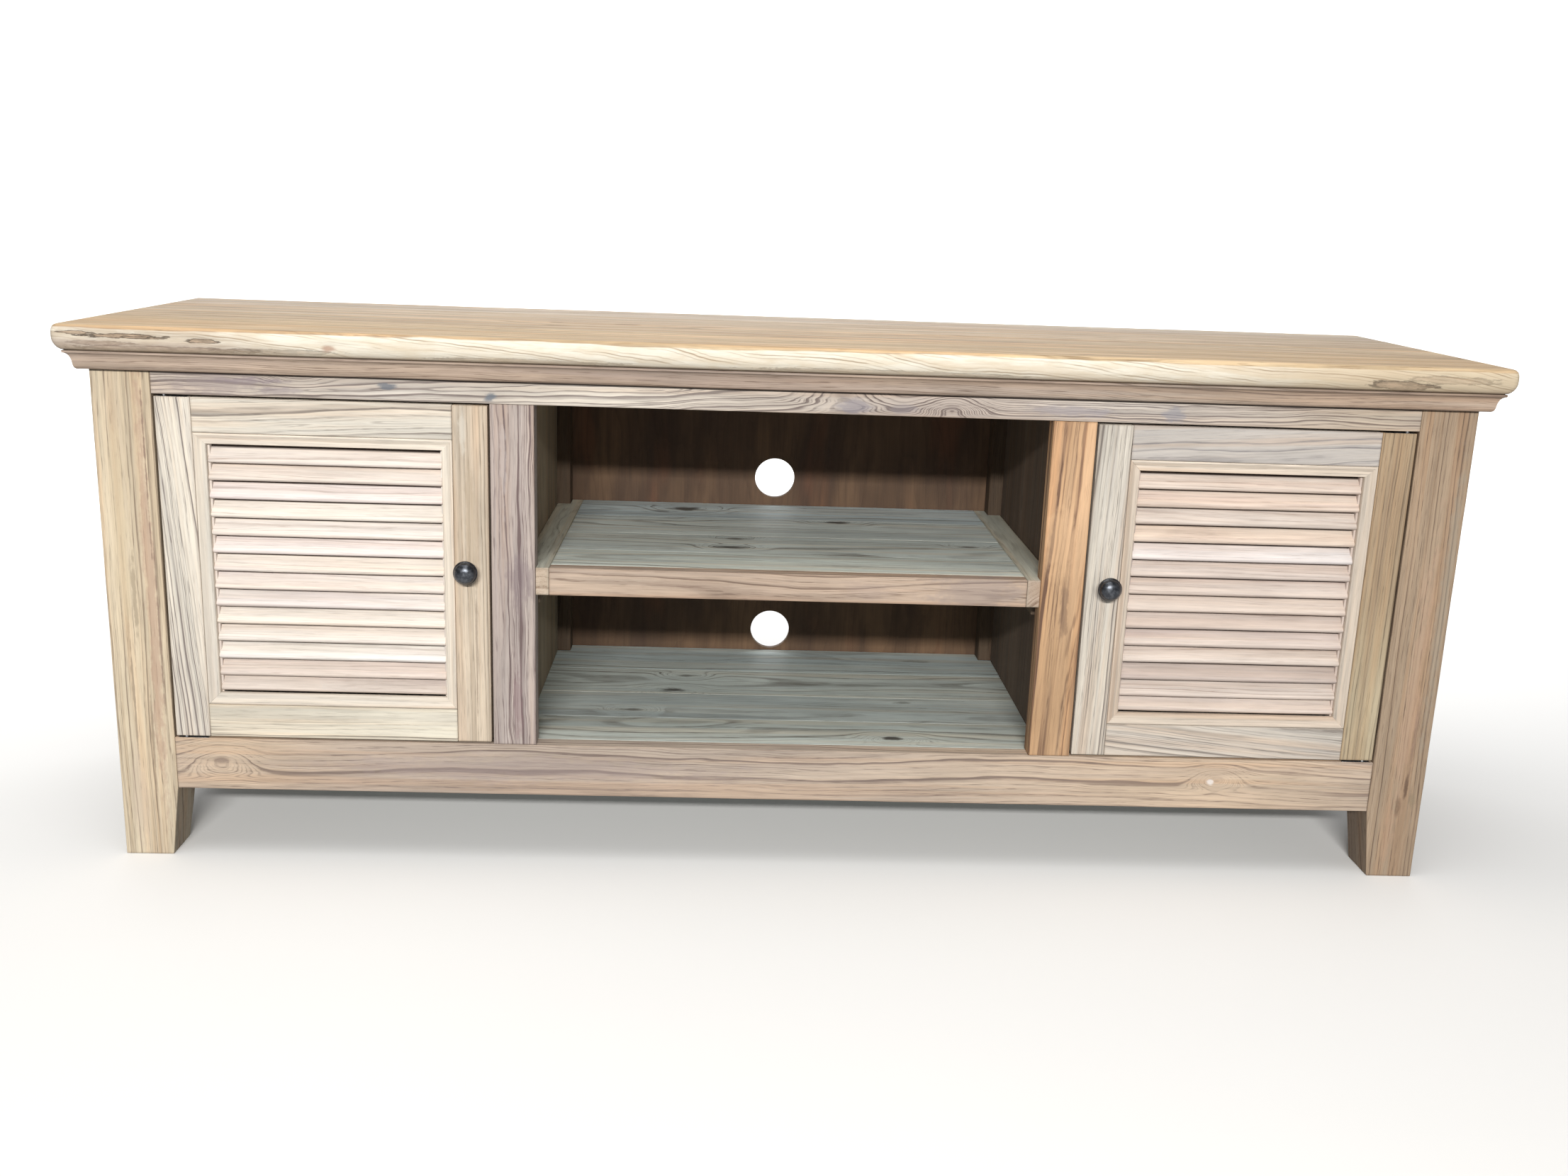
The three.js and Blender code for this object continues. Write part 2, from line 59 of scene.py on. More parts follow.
# ------------------------------------------------------------------ node helpers
class Tree:
    """A short way to write a shader tree."""

    def __init__(self, mat):
        mat.use_nodes = True
        self.t = mat.node_tree
        self.t.nodes.clear()

    def new(self, kind, **props):
        n = self.t.nodes.new(kind)
        for k, v in props.items():
            setattr(n, k, v)
        return n

    def put(self, socket, value):
        if value is None:
            return
        if isinstance(value, bpy.types.NodeSocket):
            self.t.links.new(value, socket)
        else:
            socket.default_value = value

    def math(self, op, a, b=None, c=None, clamp=False):
        n = self.new("ShaderNodeMath", operation=op, use_clamp=clamp)
        for s, v in zip(n.inputs, (a, b, c)):
            self.put(s, v)
        return n.outputs[0]

    def vec(self, op, a, b=None, scale=None):
        n = self.new("ShaderNodeVectorMath", operation=op)
        self.put(n.inputs[0], a)
        if b is not None:
            self.put(n.inputs[1], b)
        if scale is not None:
            self.put(n.inputs["Scale"], scale)
        return n.outputs["Value"] if op in ("LENGTH", "DOT_PRODUCT", "DISTANCE") else n.outputs["Vector"]

    def noise(self, v, scale=(1, 1, 1), detail=2.0, rough=0.5, colour=False, add=(0, 0, 0)):
        m = self.vec("MULTIPLY_ADD", v, scale)
        m.node.inputs[2].default_value = add
        n = self.new("ShaderNodeTexNoise", noise_dimensions="3D")
        n.inputs["Scale"].default_value = 1.0
        n.inputs["Detail"].default_value = detail
        n.inputs["Roughness"].default_value = rough
        self.put(n.inputs["Vector"], m)
        return n.outputs["Color"] if colour else n.outputs[0]

    def smooth(self, x, lo, hi, a=0.0, b=1.0):
        n = self.new("ShaderNodeMapRange", interpolation_type="SMOOTHSTEP")
        self.put(n.inputs[0], x)
        for s, v in zip(n.inputs[1:5], (lo, hi, a, b)):
            self.put(s, v)
        return n.outputs[0]

    def mix(self, f, a, b, blend="MIX"):
        n = self.new("ShaderNodeMix", data_type="RGBA", blend_type=blend)
        self.put(n.inputs[0], f)
        for s, v in ((n.inputs[6], a), (n.inputs[7], b)):
            self.put(s, v if isinstance(v, bpy.types.NodeSocket) else (*v[:3], 1.0))
        return n.outputs[2]

    def split(self, v):
        n = self.new("ShaderNodeSeparateXYZ")
        self.put(n.inputs[0], v)
        return n.outputs

    def join(self, x, y, z):
        n = self.new("ShaderNodeCombineXYZ")
        for s, v in zip(n.inputs, (x, y, z)):
            self.put(s, v)
        return n.outputs[0]

    def attr(self, name, kind="Vector"):
        n = self.new("ShaderNodeAttribute", attribute_name=name, attribute_type="GEOMETRY")
        return n.outputs[kind]


def mul(c, k):
    if isinstance(k, (int, float)):
        k = (k, k, k)
    return tuple(min(1.0, max(0.0, a * b)) for a, b in zip(c, k))


# ------------------------------------------------------------------ wood
TUNE = {
    "elm_leg_front_left": (1.10, 1.17, 1.20), "elm_leg_front_right": (0.78, 0.77, 0.77),
    "elm_front_top_rail": (0.97, 0.985, 1.02), "elm_front_bottom_rail": (0.90, 0.92, 0.94),
    "elm_left_door_latch_stile": (1.10, 1.15, 1.24), "elm_left_door_bottom_rail": (1.15, 1.22, 1.26), "elm_left_door_top_rail": (1.10, 1.17, 1.24),
    "elm_left_door_hinge_stile": (1.12, 1.14, 1.16),
    "elm_right_door_bottom_rail": (1.18, 1.25, 1.31), "elm_right_door_latch_stile": (1.07, 1.09, 1.12), "elm_right_door_top_rail": (1.03, 1.05, 1.08),
    "elm_cornice_front": (1.00, 1.00, 0.99),
    "elm_top_1": (1.07, 1.08, 1.02), "elm_top_2": (0.91, 0.93, 0.93), "elm_top_3": (0.88, 0.93, 1.00), "elm_top_4": (0.90, 1.02, 1.22),
    "elm_shelf_front": (0.98, 0.98, 0.98), "elm_partition_left": (1.22, 1.26, 1.28), "elm_partition_right": (0.85, 0.82, 0.80),
}


def wood(name, light, mid=None, line=None, stain=None, stain_amt=0.35, seed=0, ring=0.0042,
         pith=(0.015, -0.045), warp=0.028, fine_warp=0.0035, line_amt=0.75, pore=0.55,
         knots=(), spots=(), bump=0.45, rough=0.72, planks=None, bold=1.0, edge_dark=0.25, front=None,
         mottle=0.14, streak=0.0, streak_col=None, zones=(), slope=0.0, hue=1.0, sharp=1.0, shadow_bands=(), lift=1.09):
    """Limed elm, solid textured in the board's own grain space: u along the grain, v across the face, w into the board."""
    rnd = random.Random(seed * 7919 + 13)
    mid = mid or mul(light, (0.84, 0.80, 0.74))
    line = line or mul(light, (0.42, 0.36, 0.30))
    stain = stain or mul(light, (0.70, 0.66, 0.68))
    if name in TUNE:
        k = TUNE[name]
        light, mid, line, stain = mul(light, k), mul(mid, k), mul(line, k), mul(stain, k)
        streak_col = mul(streak_col, k) if streak_col else None
    light, mid = mul(light, lift), mul(mid, lift)
    off = (rnd.uniform(-40, 40), rnd.uniform(-3, 3), rnd.uniform(-3, 3))
    mat = bpy.data.materials.new(name)
    T = Tree(mat)
    P = T.attr("gr")
    px, py, pz = T.split(P)
    extra = None
    seam = None
    if planks:
        # each plank is its own piece of timber: a random jump in grain space per plank
        idx = None
        for e in planks:
            s = T.math("GREATER_THAN", py, e)
            idx = s if idx is None else T.math("ADD", idx, s)
        w = T.new("ShaderNodeTexWhiteNoise", noise_dimensions="1D")
        T.put(w.inputs["W"], T.math("ADD", idx, float(seed) + 0.37))
        extra = w.outputs["Color"]
        jump = T.vec("MULTIPLY", extra, (9.0, 2.0, 0.0))
        Q = T.vec("ADD", P, jump)
    else:
        Q = P
    if slope:
        sx_, sy_, sz_ = T.split(Q)
        Q = T.join(sx_, T.math("MULTIPLY_ADD", sx_, -slope, sy_), sz_)
    S = T.vec("ADD", Q, off)

    # slow warps make the cathedral arches and the wander of the grain
    w1 = T.noise(S, (1.7, 6.5, 6.5), 2.0, 0.5, colour=True)
    w2 = T.noise(S, (11.0, 48.0, 48.0), 2.0, 0.5, colour=True)
    a1, b1, _ = T.split(w1)
    a2, b2, _ = T.split(w2)
    qx, qy, qz = T.split(Q)
    vy = T.math("ADD", T.math("MULTIPLY_ADD", T.math("SUBTRACT", a1, 0.5), warp, qy),
                T.math("MULTIPLY", T.math("SUBTRACT", a2, 0.5), fine_warp))
    vz = T.math("ADD", T.math("MULTIPLY_ADD", T.math("SUBTRACT", b1, 0.5), warp, qz),
                T.math("MULTIPLY", T.math("SUBTRACT", b2, 0.5), fine_warp))
    pv, pw = pith
    dy = T.math("SUBTRACT", vy, pv)
    dz = T.math("SUBTRACT", vz, pw)
    r = T.math("SQRT", T.math("ADD", T.math("MULTIPLY", dy, dy), T.math("MULTIPLY", dz, dz)))
    t = T.math("DIVIDE", r, ring)
    uneven = T.noise(T.join(0.0, T.math("MULTIPLY", r, 70.0), float(seed)), (1, 1, 1), 1.0)
    t = T.math("MULTIPLY_ADD", uneven, 2.6, t)

    # knots pull the rings round themselves
    kd = None
    for (u, v, rad, strength) in knots:
        du = T.math("DIVIDE", T.math("SUBTRACT", px, u), 1.9)
        dv = T.math("SUBTRACT", py, v)
        d = T.math("SQRT", T.math("ADD", T.math("MULTIPLY", du, du), T.math("MULTIPLY", dv, dv)))
        d = T.math("ADD", d, T.math("MULTIPLY", T.math("SUBTRACT", a2, 0.5), rad * 0.9))
        g = T.math("EXPONENT", T.math("MULTIPLY", T.math("POWER", T.math("DIVIDE", d, rad * 2.6), 2.0), -1.0))
        t = T.math("MULTIPLY_ADD", g, 5.5, t)
        dark = T.math("MULTIPLY", T.smooth(d, rad * 1.15, rad * 0.45), strength)
        kd = dark if kd is None else T.math("MAXIMUM", kd, dark)

    fr = T.math("FRACT", t)
    idx = T.math("FLOOR", t)
    wn = T.new("ShaderNodeTexWhiteNoise", noise_dimensions="1D")
    T.put(wn.inputs["W"], T.math("ADD", idx, float(seed)))
    ringv = T.math("MULTIPLY_ADD", T.smooth(wn.outputs["Value"], 0.26, 0.78), 0.80, 0.20)
    # early wood: a thin dark band that fades outwards
    thin = T.math("SUBTRACT", 1.0, T.smooth(T.math("ABSOLUTE", T.math("SUBTRACT", fr, 0.15)), 0.05, 0.19))
    skirt = T.math("MULTIPLY", T.math("SUBTRACT", 1.0, T.smooth(fr, 0.15, 0.70)), T.smooth(fr, 0.0, 0.12))
    band = T.math("MAXIMUM", T.math("MULTIPLY", thin, sharp), T.math("MULTIPLY", skirt, 0.42))
    along = T.smooth(T.noise(S, (4.0, 42.0, 42.0), 2.0, 0.55), 0.34, 0.58, 0.35, 1.0)
    lines = T.math("MULTIPLY", T.math("MULTIPLY", band, ringv), along)
    # open pores, short dashes along the grain
    pn = T.noise(S, (34.0, 760.0, 760.0), 2.0, 0.6)
    pores = T.math("MULTIPLY", T.smooth(pn, 0.53, 0.66), T.math("MULTIPLY_ADD", band, 0.65, 0.35))
    fn = T.noise(S, (15.0, 430.0, 430.0), 3.0, 0.62)
    tn = T.noise(S, (1.6, 13.0, 13.0), 3.0, 0.55)
    sn = T.noise(S, (1.1, 17.0, 17.0), 4.0, 0.6, add=(7.3, 2.1, 5.5))
    mn = T.noise(S, (9.0, 60.0, 60.0), 3.0, 0.6, add=(3.1, 8.8, 1.7))

    col = T.mix(T.smooth(tn, 0.32, 0.68), light, mid)
    if extra is not None:
        ex, ey, ez = T.split(extra)
        col = T.mix(T.math("MULTIPLY", ez, 0.35), col, mul(mid, (0.92, 0.90, 0.88)))
    col = T.mix(T.math("MULTIPLY", T.smooth(sn, 0.50, 0.66), stain_amt), col, stain)
    if streak:
        st = T.noise(S, (1.4, 95.0, 95.0), 2.0, 0.6, add=(1.3, 4.4, 9.2))
        col = T.mix(T.math("MULTIPLY", T.smooth(st, 0.52, 0.66), streak), col, streak_col or mul(mid, 0.6))
    # long streaks of warmer and of greyer wood
    h1 = T.smooth(T.noise(S, (1.3, 62.0, 62.0), 3.0, 0.55, add=(2.3, 6.4, 3.2)), 0.46, 0.64)
    h2 = T.smooth(T.noise(S, (2.0, 34.0, 34.0), 3.0, 0.55, add=(8.3, 1.4, 7.2)), 0.46, 0.66)
    col = T.mix(T.math("MULTIPLY", h1, 0.75 * hue), col, T.vec("MULTIPLY", col, (1.03, 0.90, 0.80)))
    col = T.mix(T.math("MULTIPLY", h2, 0.75 * hue), col, T.vec("MULTIPLY", col, (0.80, 0.82, 0.84)))
    # late wood is a little warmer than the early wood beside it
    col = T.mix(T.math("MULTIPLY", T.smooth(fr, 0.35, 0.95), 0.22), col, mul(mid, (0.98, 0.93, 0.86)))
    # fine lines between the strong ones
    t2 = T.math("FRACT", T.math("MULTIPLY_ADD", t, 2.7, T.math("MULTIPLY", fn, 0.7)))
    l2 = T.math("SUBTRACT", 1.0, T.smooth(T.math("ABSOLUTE", T.math("SUBTRACT", t2, 0.3)), 0.04, 0.26))
    fine = T.math("MULTIPLY", l2, T.smooth(T.noise(S, (5.0, 70.0, 70.0), 2.0, 0.5, add=(4.1, 0.3, 6.6)), 0.42, 0.62))
    dark = T.math("MULTIPLY", lines, line_amt * bold * 1.5)
    dark = T.math("MULTIPLY_ADD", fine, 0.62 * line_amt * bold, dark)
    dark = T.math("ADD", dark, T.math("MULTIPLY", pores, pore * 1.1), clamp=True)
    col = T.mix(dark, col, line)
    # fine fibre and mottle in the lime
    fib = T.math("MULTIPLY_ADD", T.math("SUBTRACT", fn, 0.5), 0.46, 1.0)
    mot = T.math("MULTIPLY_ADD", T.math("SUBTRACT", mn, 0.5), mottle * 2.0, fib)
    col = T.mix(1.0, col, T.join(mot, mot, mot), "MULTIPLY")
    if kd is not None:
        col = T.mix(kd, col, mul(line, (0.55, 0.50, 0.55)))
    sp = T.noise(P, (70.0, 150.0, 150.0), 3.0, 0.6, add=(1.1, 2.2, 3.3)) if spots else None
    for (u, v, ru, rv, c, strength) in spots:
        du = T.math("DIVIDE", T.math("SUBTRACT", px, u), ru)
        dv = T.math("DIVIDE", T.math("SUBTRACT", py, v), rv)
        d = T.math("SQRT", T.math("ADD", T.math("MULTIPLY", du, du), T.math("MULTIPLY", dv, dv)))
        d = T.math("ADD", d, T.math("MULTIPLY", T.math("SUBTRACT", a2, 0.5), 1.2))
        d = T.math("ADD", d, T.math("MULTIPLY", T.math("SUBTRACT", sp, 0.5), 1.9))
        col = T.mix(T.math("MULTIPLY", T.smooth(d, 1.2, 0.45), strength), col, c)
    if front:
        col = T.mix(T.math("LESS_THAN", px, front[0]), col, T.mix(dark, T.mix(T.smooth(mn, 0.3, 0.7), front[1], mul(front[1], (0.84, 0.80, 0.76))), mul(front[1], (0.45, 0.38, 0.33))))
    for (u, ru, c) in zones:
        d = T.math("DIVIDE", T.math("MULTIPLY_ADD", T.math("SUBTRACT", a1, 0.5), ru * 0.8, T.math("SUBTRACT", px, u)), ru)
        g = T.math("EXPONENT", T.math("MULTIPLY", T.math("MULTIPLY", d, d), -1.0))
        n = T.new("ShaderNodeMix", data_type="VECTOR")
        T.put(n.inputs[0], g)
        T.put(n.inputs[4], (1.0, 1.0, 1.0))
        T.put(n.inputs[5], tuple(c))
        col = T.vec("MULTIPLY", col, n.outputs[1])
    # painted shade: dark bands along the board where a moulding above would shade it
    for (comp, lo_, hi_, k_) in shadow_bands:
        g = T.smooth({"u": px, "v": py, "w": pz}[comp], lo_, hi_)
        col = T.mix(T.math("MULTIPLY", g, T.math("MULTIPLY_ADD", mn, k_ * 0.5, k_ * 0.75), clamp=True), col, (0.075, 0.052, 0.040))
    # painted shadow from a per-vertex shade attribute: the hidden top of each slat and the feet's inner faces
    col = T.mix(T.math("MULTIPLY", T.attr("shade_mask", "Fac"), 0.92), col, (0.050, 0.030, 0.024))
    # arrises: rubbed, so a little browner and uneven
    e = T.attr("edge", "Fac")
    en = T.smooth(T.math("MULTIPLY", e, T.math("MULTIPLY_ADD", mn, 1.2, 0.35)), 0.35, 0.95)
    col = T.mix(T.math("MULTIPLY", en, edge_dark), col, mul(mid, (0.60, 0.54, 0.48)))

    h = T.math("MULTIPLY_ADD", T.math("MULTIPLY", lines, bold), -0.55, T.math("MULTIPLY", fn, 0.22))
    h = T.math("MULTIPLY_ADD", pores, -0.6, h)
    h = T.math("MULTIPLY_ADD", mn, 0.5, h)
    b = T.new("ShaderNodeBump")
    b.inputs["Strength"].default_value = bump
    b.inputs["Distance"].default_value = 0.0007
    T.put(b.inputs["Height"], h)
    bsdf = T.new("ShaderNodeBsdfPrincipled")
    T.put(bsdf.inputs["Base Color"], col)
    T.put(bsdf.inputs["Roughness"], T.math("MULTIPLY_ADD", T.math("SUBTRACT", fn, 0.5), 0.25, rough))
    bsdf.inputs["Specular IOR Level"].default_value = 0.28
    T.put(bsdf.inputs["Normal"], b.outputs[0])
    out = T.new("ShaderNodeOutputMaterial")
    T.put(out.inputs["Surface"], bsdf.outputs[0])
    return mat


def metal(name, base, rough=0.4, metallic=0.9, wear=None, wear_amt=0.3, scale=140.0, bump=0.15, brushed=None):
    mat = bpy.data.materials.new(name)
    T = Tree(mat)
    tc = T.new("ShaderNodeTexCoord").outputs["Object"]
    n1 = T.noise(tc, (scale,) * 3, 4.0, 0.6)
    n2 = T.noise(tc, brushed or (scale * 5,) * 3, 2.0, 0.6)
    col = T.mix(T.math("MULTIPLY", T.smooth(n1, 0.42, 0.66), wear_amt), base, wear or mul(base, 1.8))
    col = T.mix(T.math("MULTIPLY", T.smooth(n2, 0.5, 0.8), 0.25), col, mul(base, 0.6))
    b = T.new("ShaderNodeBump")
    b.inputs["Strength"].default_value = bump
    b.inputs["Distance"].default_value = 0.0003
    T.put(b.inputs["Height"], T.math("MULTIPLY_ADD", n1, 0.6, T.math("MULTIPLY", n2, 0.4)))
    bsdf = T.new("ShaderNodeBsdfPrincipled")
    T.put(bsdf.inputs["Base Color"], col)
    bsdf.inputs["Metallic"].default_value = metallic
    T.put(bsdf.inputs["Roughness"], T.math("MULTIPLY_ADD", T.math("SUBTRACT", n1, 0.5), 0.35, rough))
    T.put(bsdf.inputs["Normal"], b.outputs[0])
    out = T.new("ShaderNodeOutputMaterial")
    T.put(out.inputs["Surface"], bsdf.outputs[0])
    return mat


# ------------------------------------------------------------------ mesh helpers
AX = {"x": 0, "y": 1, "z": 2}


def mesh_object(name, verts, faces):
    me = bpy.data.meshes.new(name)
    me.from_pydata([tuple(v) for v in verts], [], [tuple(f) for f in faces])
    me.validate()
    ob = bpy.data.objects.new(name, me)
    coll.objects.link(ob)
    return ob


def tidy(ob):
    """Merges doubles and turns every face outwards."""
    bm = bmesh.new()
    bm.from_mesh(ob.data)
    bmesh.ops.remove_doubles(bm, verts=bm.verts, dist=2e-6)
    bmesh.ops.recalc_face_normals(bm, faces=bm.faces)
    if bm.calc_volume(signed=True) < 0:
        bmesh.ops.reverse_faces(bm, faces=bm.faces)
    bm.to_mesh(ob.data)
    bm.free()
    ob.data.update()
    return ob


def smooth(ob, angle=None):
    ob.data.polygons.foreach_set("use_smooth", [True] * len(ob.data.polygons))
    if angle is not None:
        bm = bmesh.new()
        bm.from_mesh(ob.data)
        for e in bm.edges:
            if len(e.link_faces) == 2 and e.calc_face_angle(0.0) > math.radians(angle):
                e.smooth = False
        bm.to_mesh(ob.data)
        bm.free()
    ob.data.update()
    return ob


def coords(ob):
    co = np.zeros(len(ob.data.vertices) * 3)
    ob.data.vertices.foreach_get("co", co)
    return co.reshape(-1, 3)


def grain(ob, origin, u="x", v="z", w="y", flip=(1, 1, 1), off=(0, 0, 0), lo=None, hi=None, edge_r=0.0012, edge_w=0.0028):
    """Writes the grain space and the nearness to an arris on the mesh's vertices."""
    co = coords(ob)
    o = np.array(origin)
    g = np.stack([(co[:, AX[a]] - o[AX[a]]) * f + k for a, f, k in zip((u, v, w), flip, off)], 1)
    me = ob.data
    at = me.attributes.get("gr") or me.attributes.new("gr", "FLOAT_VECTOR", "POINT")
    at.data.foreach_set("vector", g.astype(np.float32).ravel())
    ed = me.attributes.get("edge") or me.attributes.new("edge", "FLOAT", "POINT")
    if lo is not None:
        lo, hi = np.array(lo), np.array(hi)
        d = np.sort(np.minimum(co - lo, hi - co), axis=1)[:, 1]
        x = np.clip((d - edge_r * 0.4) / edge_w, 0, 1)
        ed.data.foreach_set("value", (1 - x * x * (3 - 2 * x)).astype(np.float32))
    else:
        ed.data.foreach_set("value", np.zeros(len(co), np.float32))
    return ob


def fbm(p, s, seed=0.0):
    return noise.noise(Vector((p[0] * s + seed * 3.17, p[1] * s + seed * 1.31, p[2] * s - seed * 2.3)))


def steps(lo, hi, r, seg, extra=()):
    """Grid lines between lo and hi: the rounded edge zone, a support line, and an even run between."""
    a, b = lo + r, hi - r
    out = [lo, lo + r * 0.42, a]
    sup = min(0.0022, (b - a) * 0.2)
    inner0, inner1 = a + sup, b - sup
    n = max(1, int(round((inner1 - inner0) / seg)))
    out += [inner0 + (inner1 - inner0) * i / n for i in range(n + 1)]
    out += [b, hi - r * 0.42, hi]
    for e in extra:
        if all(abs(e - x) > 1e-5 for x in out):
            out.append(e)
    return np.array(sorted(out))


def rbox(name, lo, hi, r=0.0013, seg=0.025, wear=0.5, seed=1.0, extra=((), (), ()), segs=None):
    """A board: a closed grid of quads whose arrises are rounded by an uneven amount, as worn by hand."""
    lo, hi = np.array(lo, float), np.array(hi, float)
    segs = segs or (seg, seg, seg)
    g = [steps(lo[k], hi[k], r, segs[k], extra[k]) for k in range(3)]
    n = [len(a) for a in g]
    ids, verts, faces = {}, [], []

    def vid(i, j, k):
        key = (i, j, k)
        if key not in ids:
            p = np.array([g[0][i], g[1][j], g[2][k]])
            rr = r * (1.0 - wear * 0.5 + wear * 0.5 * fbm(p, 26.0, seed) * 1.6 - wear * 0.12 * fbm(p, 120.0, seed + 5))
            rr = float(np.clip(rr, r * 0.25, r * 0.98))
            q = np.clip(p, lo + rr, hi - rr)
            d = p - q
            m = np.linalg.norm(d)
            if m > 1e-9 and (np.abs(d) > 1e-9).sum() > 1:
                p = q + d / m * rr
            ids[key] = len(verts)
            verts.append(p)
        return ids[key]

    def face(*c):
        faces.append([vid(*x) for x in c])

    for j in range(n[1] - 1):
        for k in range(n[2] - 1):
            face((0, j, k), (0, j, k + 1), (0, j + 1, k + 1), (0, j + 1, k))
            m = n[0] - 1
            face((m, j, k), (m, j + 1, k), (m, j + 1, k + 1), (m, j, k + 1))
    for i in range(n[0] - 1):
        for k in range(n[2] - 1):
            face((i, 0, k), (i + 1, 0, k), (i + 1, 0, k + 1), (i, 0, k + 1))
            m = n[1] - 1
            face((i, m, k), (i, m, k + 1), (i + 1, m, k + 1), (i + 1, m, k))
    for i in range(n[0] - 1):
        for j in range(n[1] - 1):
            face((i, j, 0), (i, j + 1, 0), (i + 1, j + 1, 0), (i + 1, j, 0))
            m = n[2] - 1
            face((i, j, m), (i + 1, j, m), (i + 1, j + 1, m), (i, j + 1, m))
    ob = mesh_object(name, verts, faces)
    ob["lo"], ob["hi"] = list(lo), list(hi)
    return ob


def cut(ob, *tools):
    """Cuts closed tool meshes out of ob and removes them."""
    for t in tools:
        m = ob.modifiers.new("cut", "BOOLEAN")
        m.operation, m.solver, m.object = "DIFFERENCE", "EXACT", t
        dg = bpy.context.evaluated_depsgraph_get()
        me = bpy.data.meshes.new_from_object(ob.evaluated_get(dg))
        ob.modifiers.clear()
        old = ob.data
        ob.data = me
        me.name = old.name
        bpy.data.meshes.remove(old)
        bpy.data.objects.remove(t)
    return ob


def tool_box(lo, hi):
    v = [(x, y, z) for x in (lo[0], hi[0]) for y in (lo[1], hi[1]) for z in (lo[2], hi[2])]
    f = [(0, 1, 3, 2), (4, 6, 7, 5), (0, 4, 5, 1), (2, 3, 7, 6), (0, 2, 6, 4), (1, 5, 7, 3)]
    return mesh_object("tool", v, f)


def tool_cyl(c, axis, r, length, n=64):
    a = AX[axis]
    o = [k for k in range(3) if k != a]
    v, f = [], []
    for s in (-0.5, 0.5):
        for i in range(n):
            p = [0.0] * 3
            p[a] = c[a] + s * length
            p[o[0]] = c[o[0]] + r * math.cos(2 * math.pi * i / n)
            p[o[1]] = c[o[1]] + r * math.sin(2 * math.pi * i / n)
            v.append(p)
    f.append(list(range(n)))
    f.append(list(range(2 * n - 1, n - 1, -1)))
    for i in range(n):
        j = (i + 1) % n
        f.append((i, i + n, j + n, j))
    return tidy(mesh_object("tool", v, f))


def loft(name, rings, seed=0.0, smooth_angle=40):
    """Closed loops of the same count, skinned in order, with both ends capped by a fan."""
    n = len(rings[0])
    verts = [p for r in rings for p in r]
    faces = []
    for a in range(len(rings) - 1):
        for i in range(n):
            j = (i + 1) % n
            faces.append((a * n + i, a * n + j, (a + 1) * n + j, (a + 1) * n + i))
    faces.append([i for i in range(n)][::-1])
    faces.append([(len(rings) - 1) * n + i for i in range(n)])
    ob = tidy(mesh_object(name, verts, faces))
    return smooth(ob, smooth_angle)


def lathe(name, profile, centre, axis="y", sign=-1, n=48):
    """A turned piece: profile [[r, h], ...] from axis to axis, along +-axis from centre."""
    a = AX[axis]
    o = [k for k in range(3) if k != a]
    verts, faces, rows = [], [], []
    for r, h in profile:
        row = []
        cnt = 1 if r < 1e-7 else n
        for i in range(cnt):
            p = list(centre)
            p[a] += sign * h
            p[o[0]] += r * math.cos(2 * math.pi * i / n)
            p[o[1]] += r * math.sin(2 * math.pi * i / n)
            row.append(len(verts))
            verts.append(p)
        rows.append(row)
    for r0, r1 in zip(rows, rows[1:]):
        for i in range(n):
            j = (i + 1) % n
            if len(r0) == 1 and len(r1) == 1:
                continue
            if len(r0) == 1:
                faces.append((r0[0], r1[j], r1[i]))
            elif len(r1) == 1:
                faces.append((r0[i], r0[j], r1[0]))
            else:
                faces.append((r0[i], r0[j], r1[j], r1[i]))
    return tidy(mesh_object(name, verts, faces))


def finish_piece(ob, mat, body, slot, *nodes):
    ob.data.materials.clear()
    ob.data.materials.append(mat)
    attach(ob, body)
    if nodes:
        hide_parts(*nodes)
    return ob


def nbox(node):
    lo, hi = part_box(node)
    return list(lo), list(hi)


def board(node, mat, slot, body="cabinet", u="x", v="z", w="y", r=0.0013, seed=1.0, seg=0.03, wear=0.6, flip=(1, 1, 1), extra=((), (), ()), tools=(), off=(0, 0, 0), segs=None):
    """One CAD board rebuilt with worn arrises, in its CAD box."""
    lo, hi = nbox(node)
    ob = rbox("wood_" + node, lo, hi, r=r, seg=seg, wear=wear, seed=seed, extra=extra, segs=segs)
    if tools:
        cut(ob, *tools)
    tidy(ob)
    smooth(ob, 50)
    c = [(a + b) / 2 for a, b in zip(lo, hi)]
    grain(ob, c, u, v, w, flip, off, lo, hi, edge_r=r)
    return finish_piece(ob, mat, body, slot, node)


# ------------------------------------------------------------------ colours
# linear colours of the bare surface
CREAM = (0.74, 0.67, 0.56)
PALE = (0.66, 0.58, 0.46)
PINK = (0.70, 0.585, 0.49)
TAN = (0.58, 0.45, 0.32)
WARM = (0.60, 0.44, 0.28)
GREY = (0.56, 0.50, 0.43)
MAUVE = (0.44, 0.36, 0.32)
ORANGE = (0.50, 0.30, 0.16)
OLIVE = (0.42, 0.33, 0.21)
INK = (0.14, 0.15, 0.17)
BARK = (0.20, 0.145, 0.10)

# ------------------------------------------------------------------ top board: four planks
PROFILE = [  # how far the nosing stands out from the body, and its height, from below
    (0.0185, 0.5918), (0.0218, 0.5927), (0.0240, 0.5945), (0.0256, 0.5969), (0.0268, 0.5994), (0.0275, 0.6018),
    (0.0279, 0.6042), (0.0280, 0.6075), (0.0280, 0.6105), (0.0279, 0.6135), (0.0275, 0.6158), (0.0267, 0.6176),
    (0.0254, 0.6189), (0.0236, 0.6197), (0.0215, 0.6200),
]
TOP_EDGES = [-0.225, -0.098, 0.012, 0.131, 0.225]


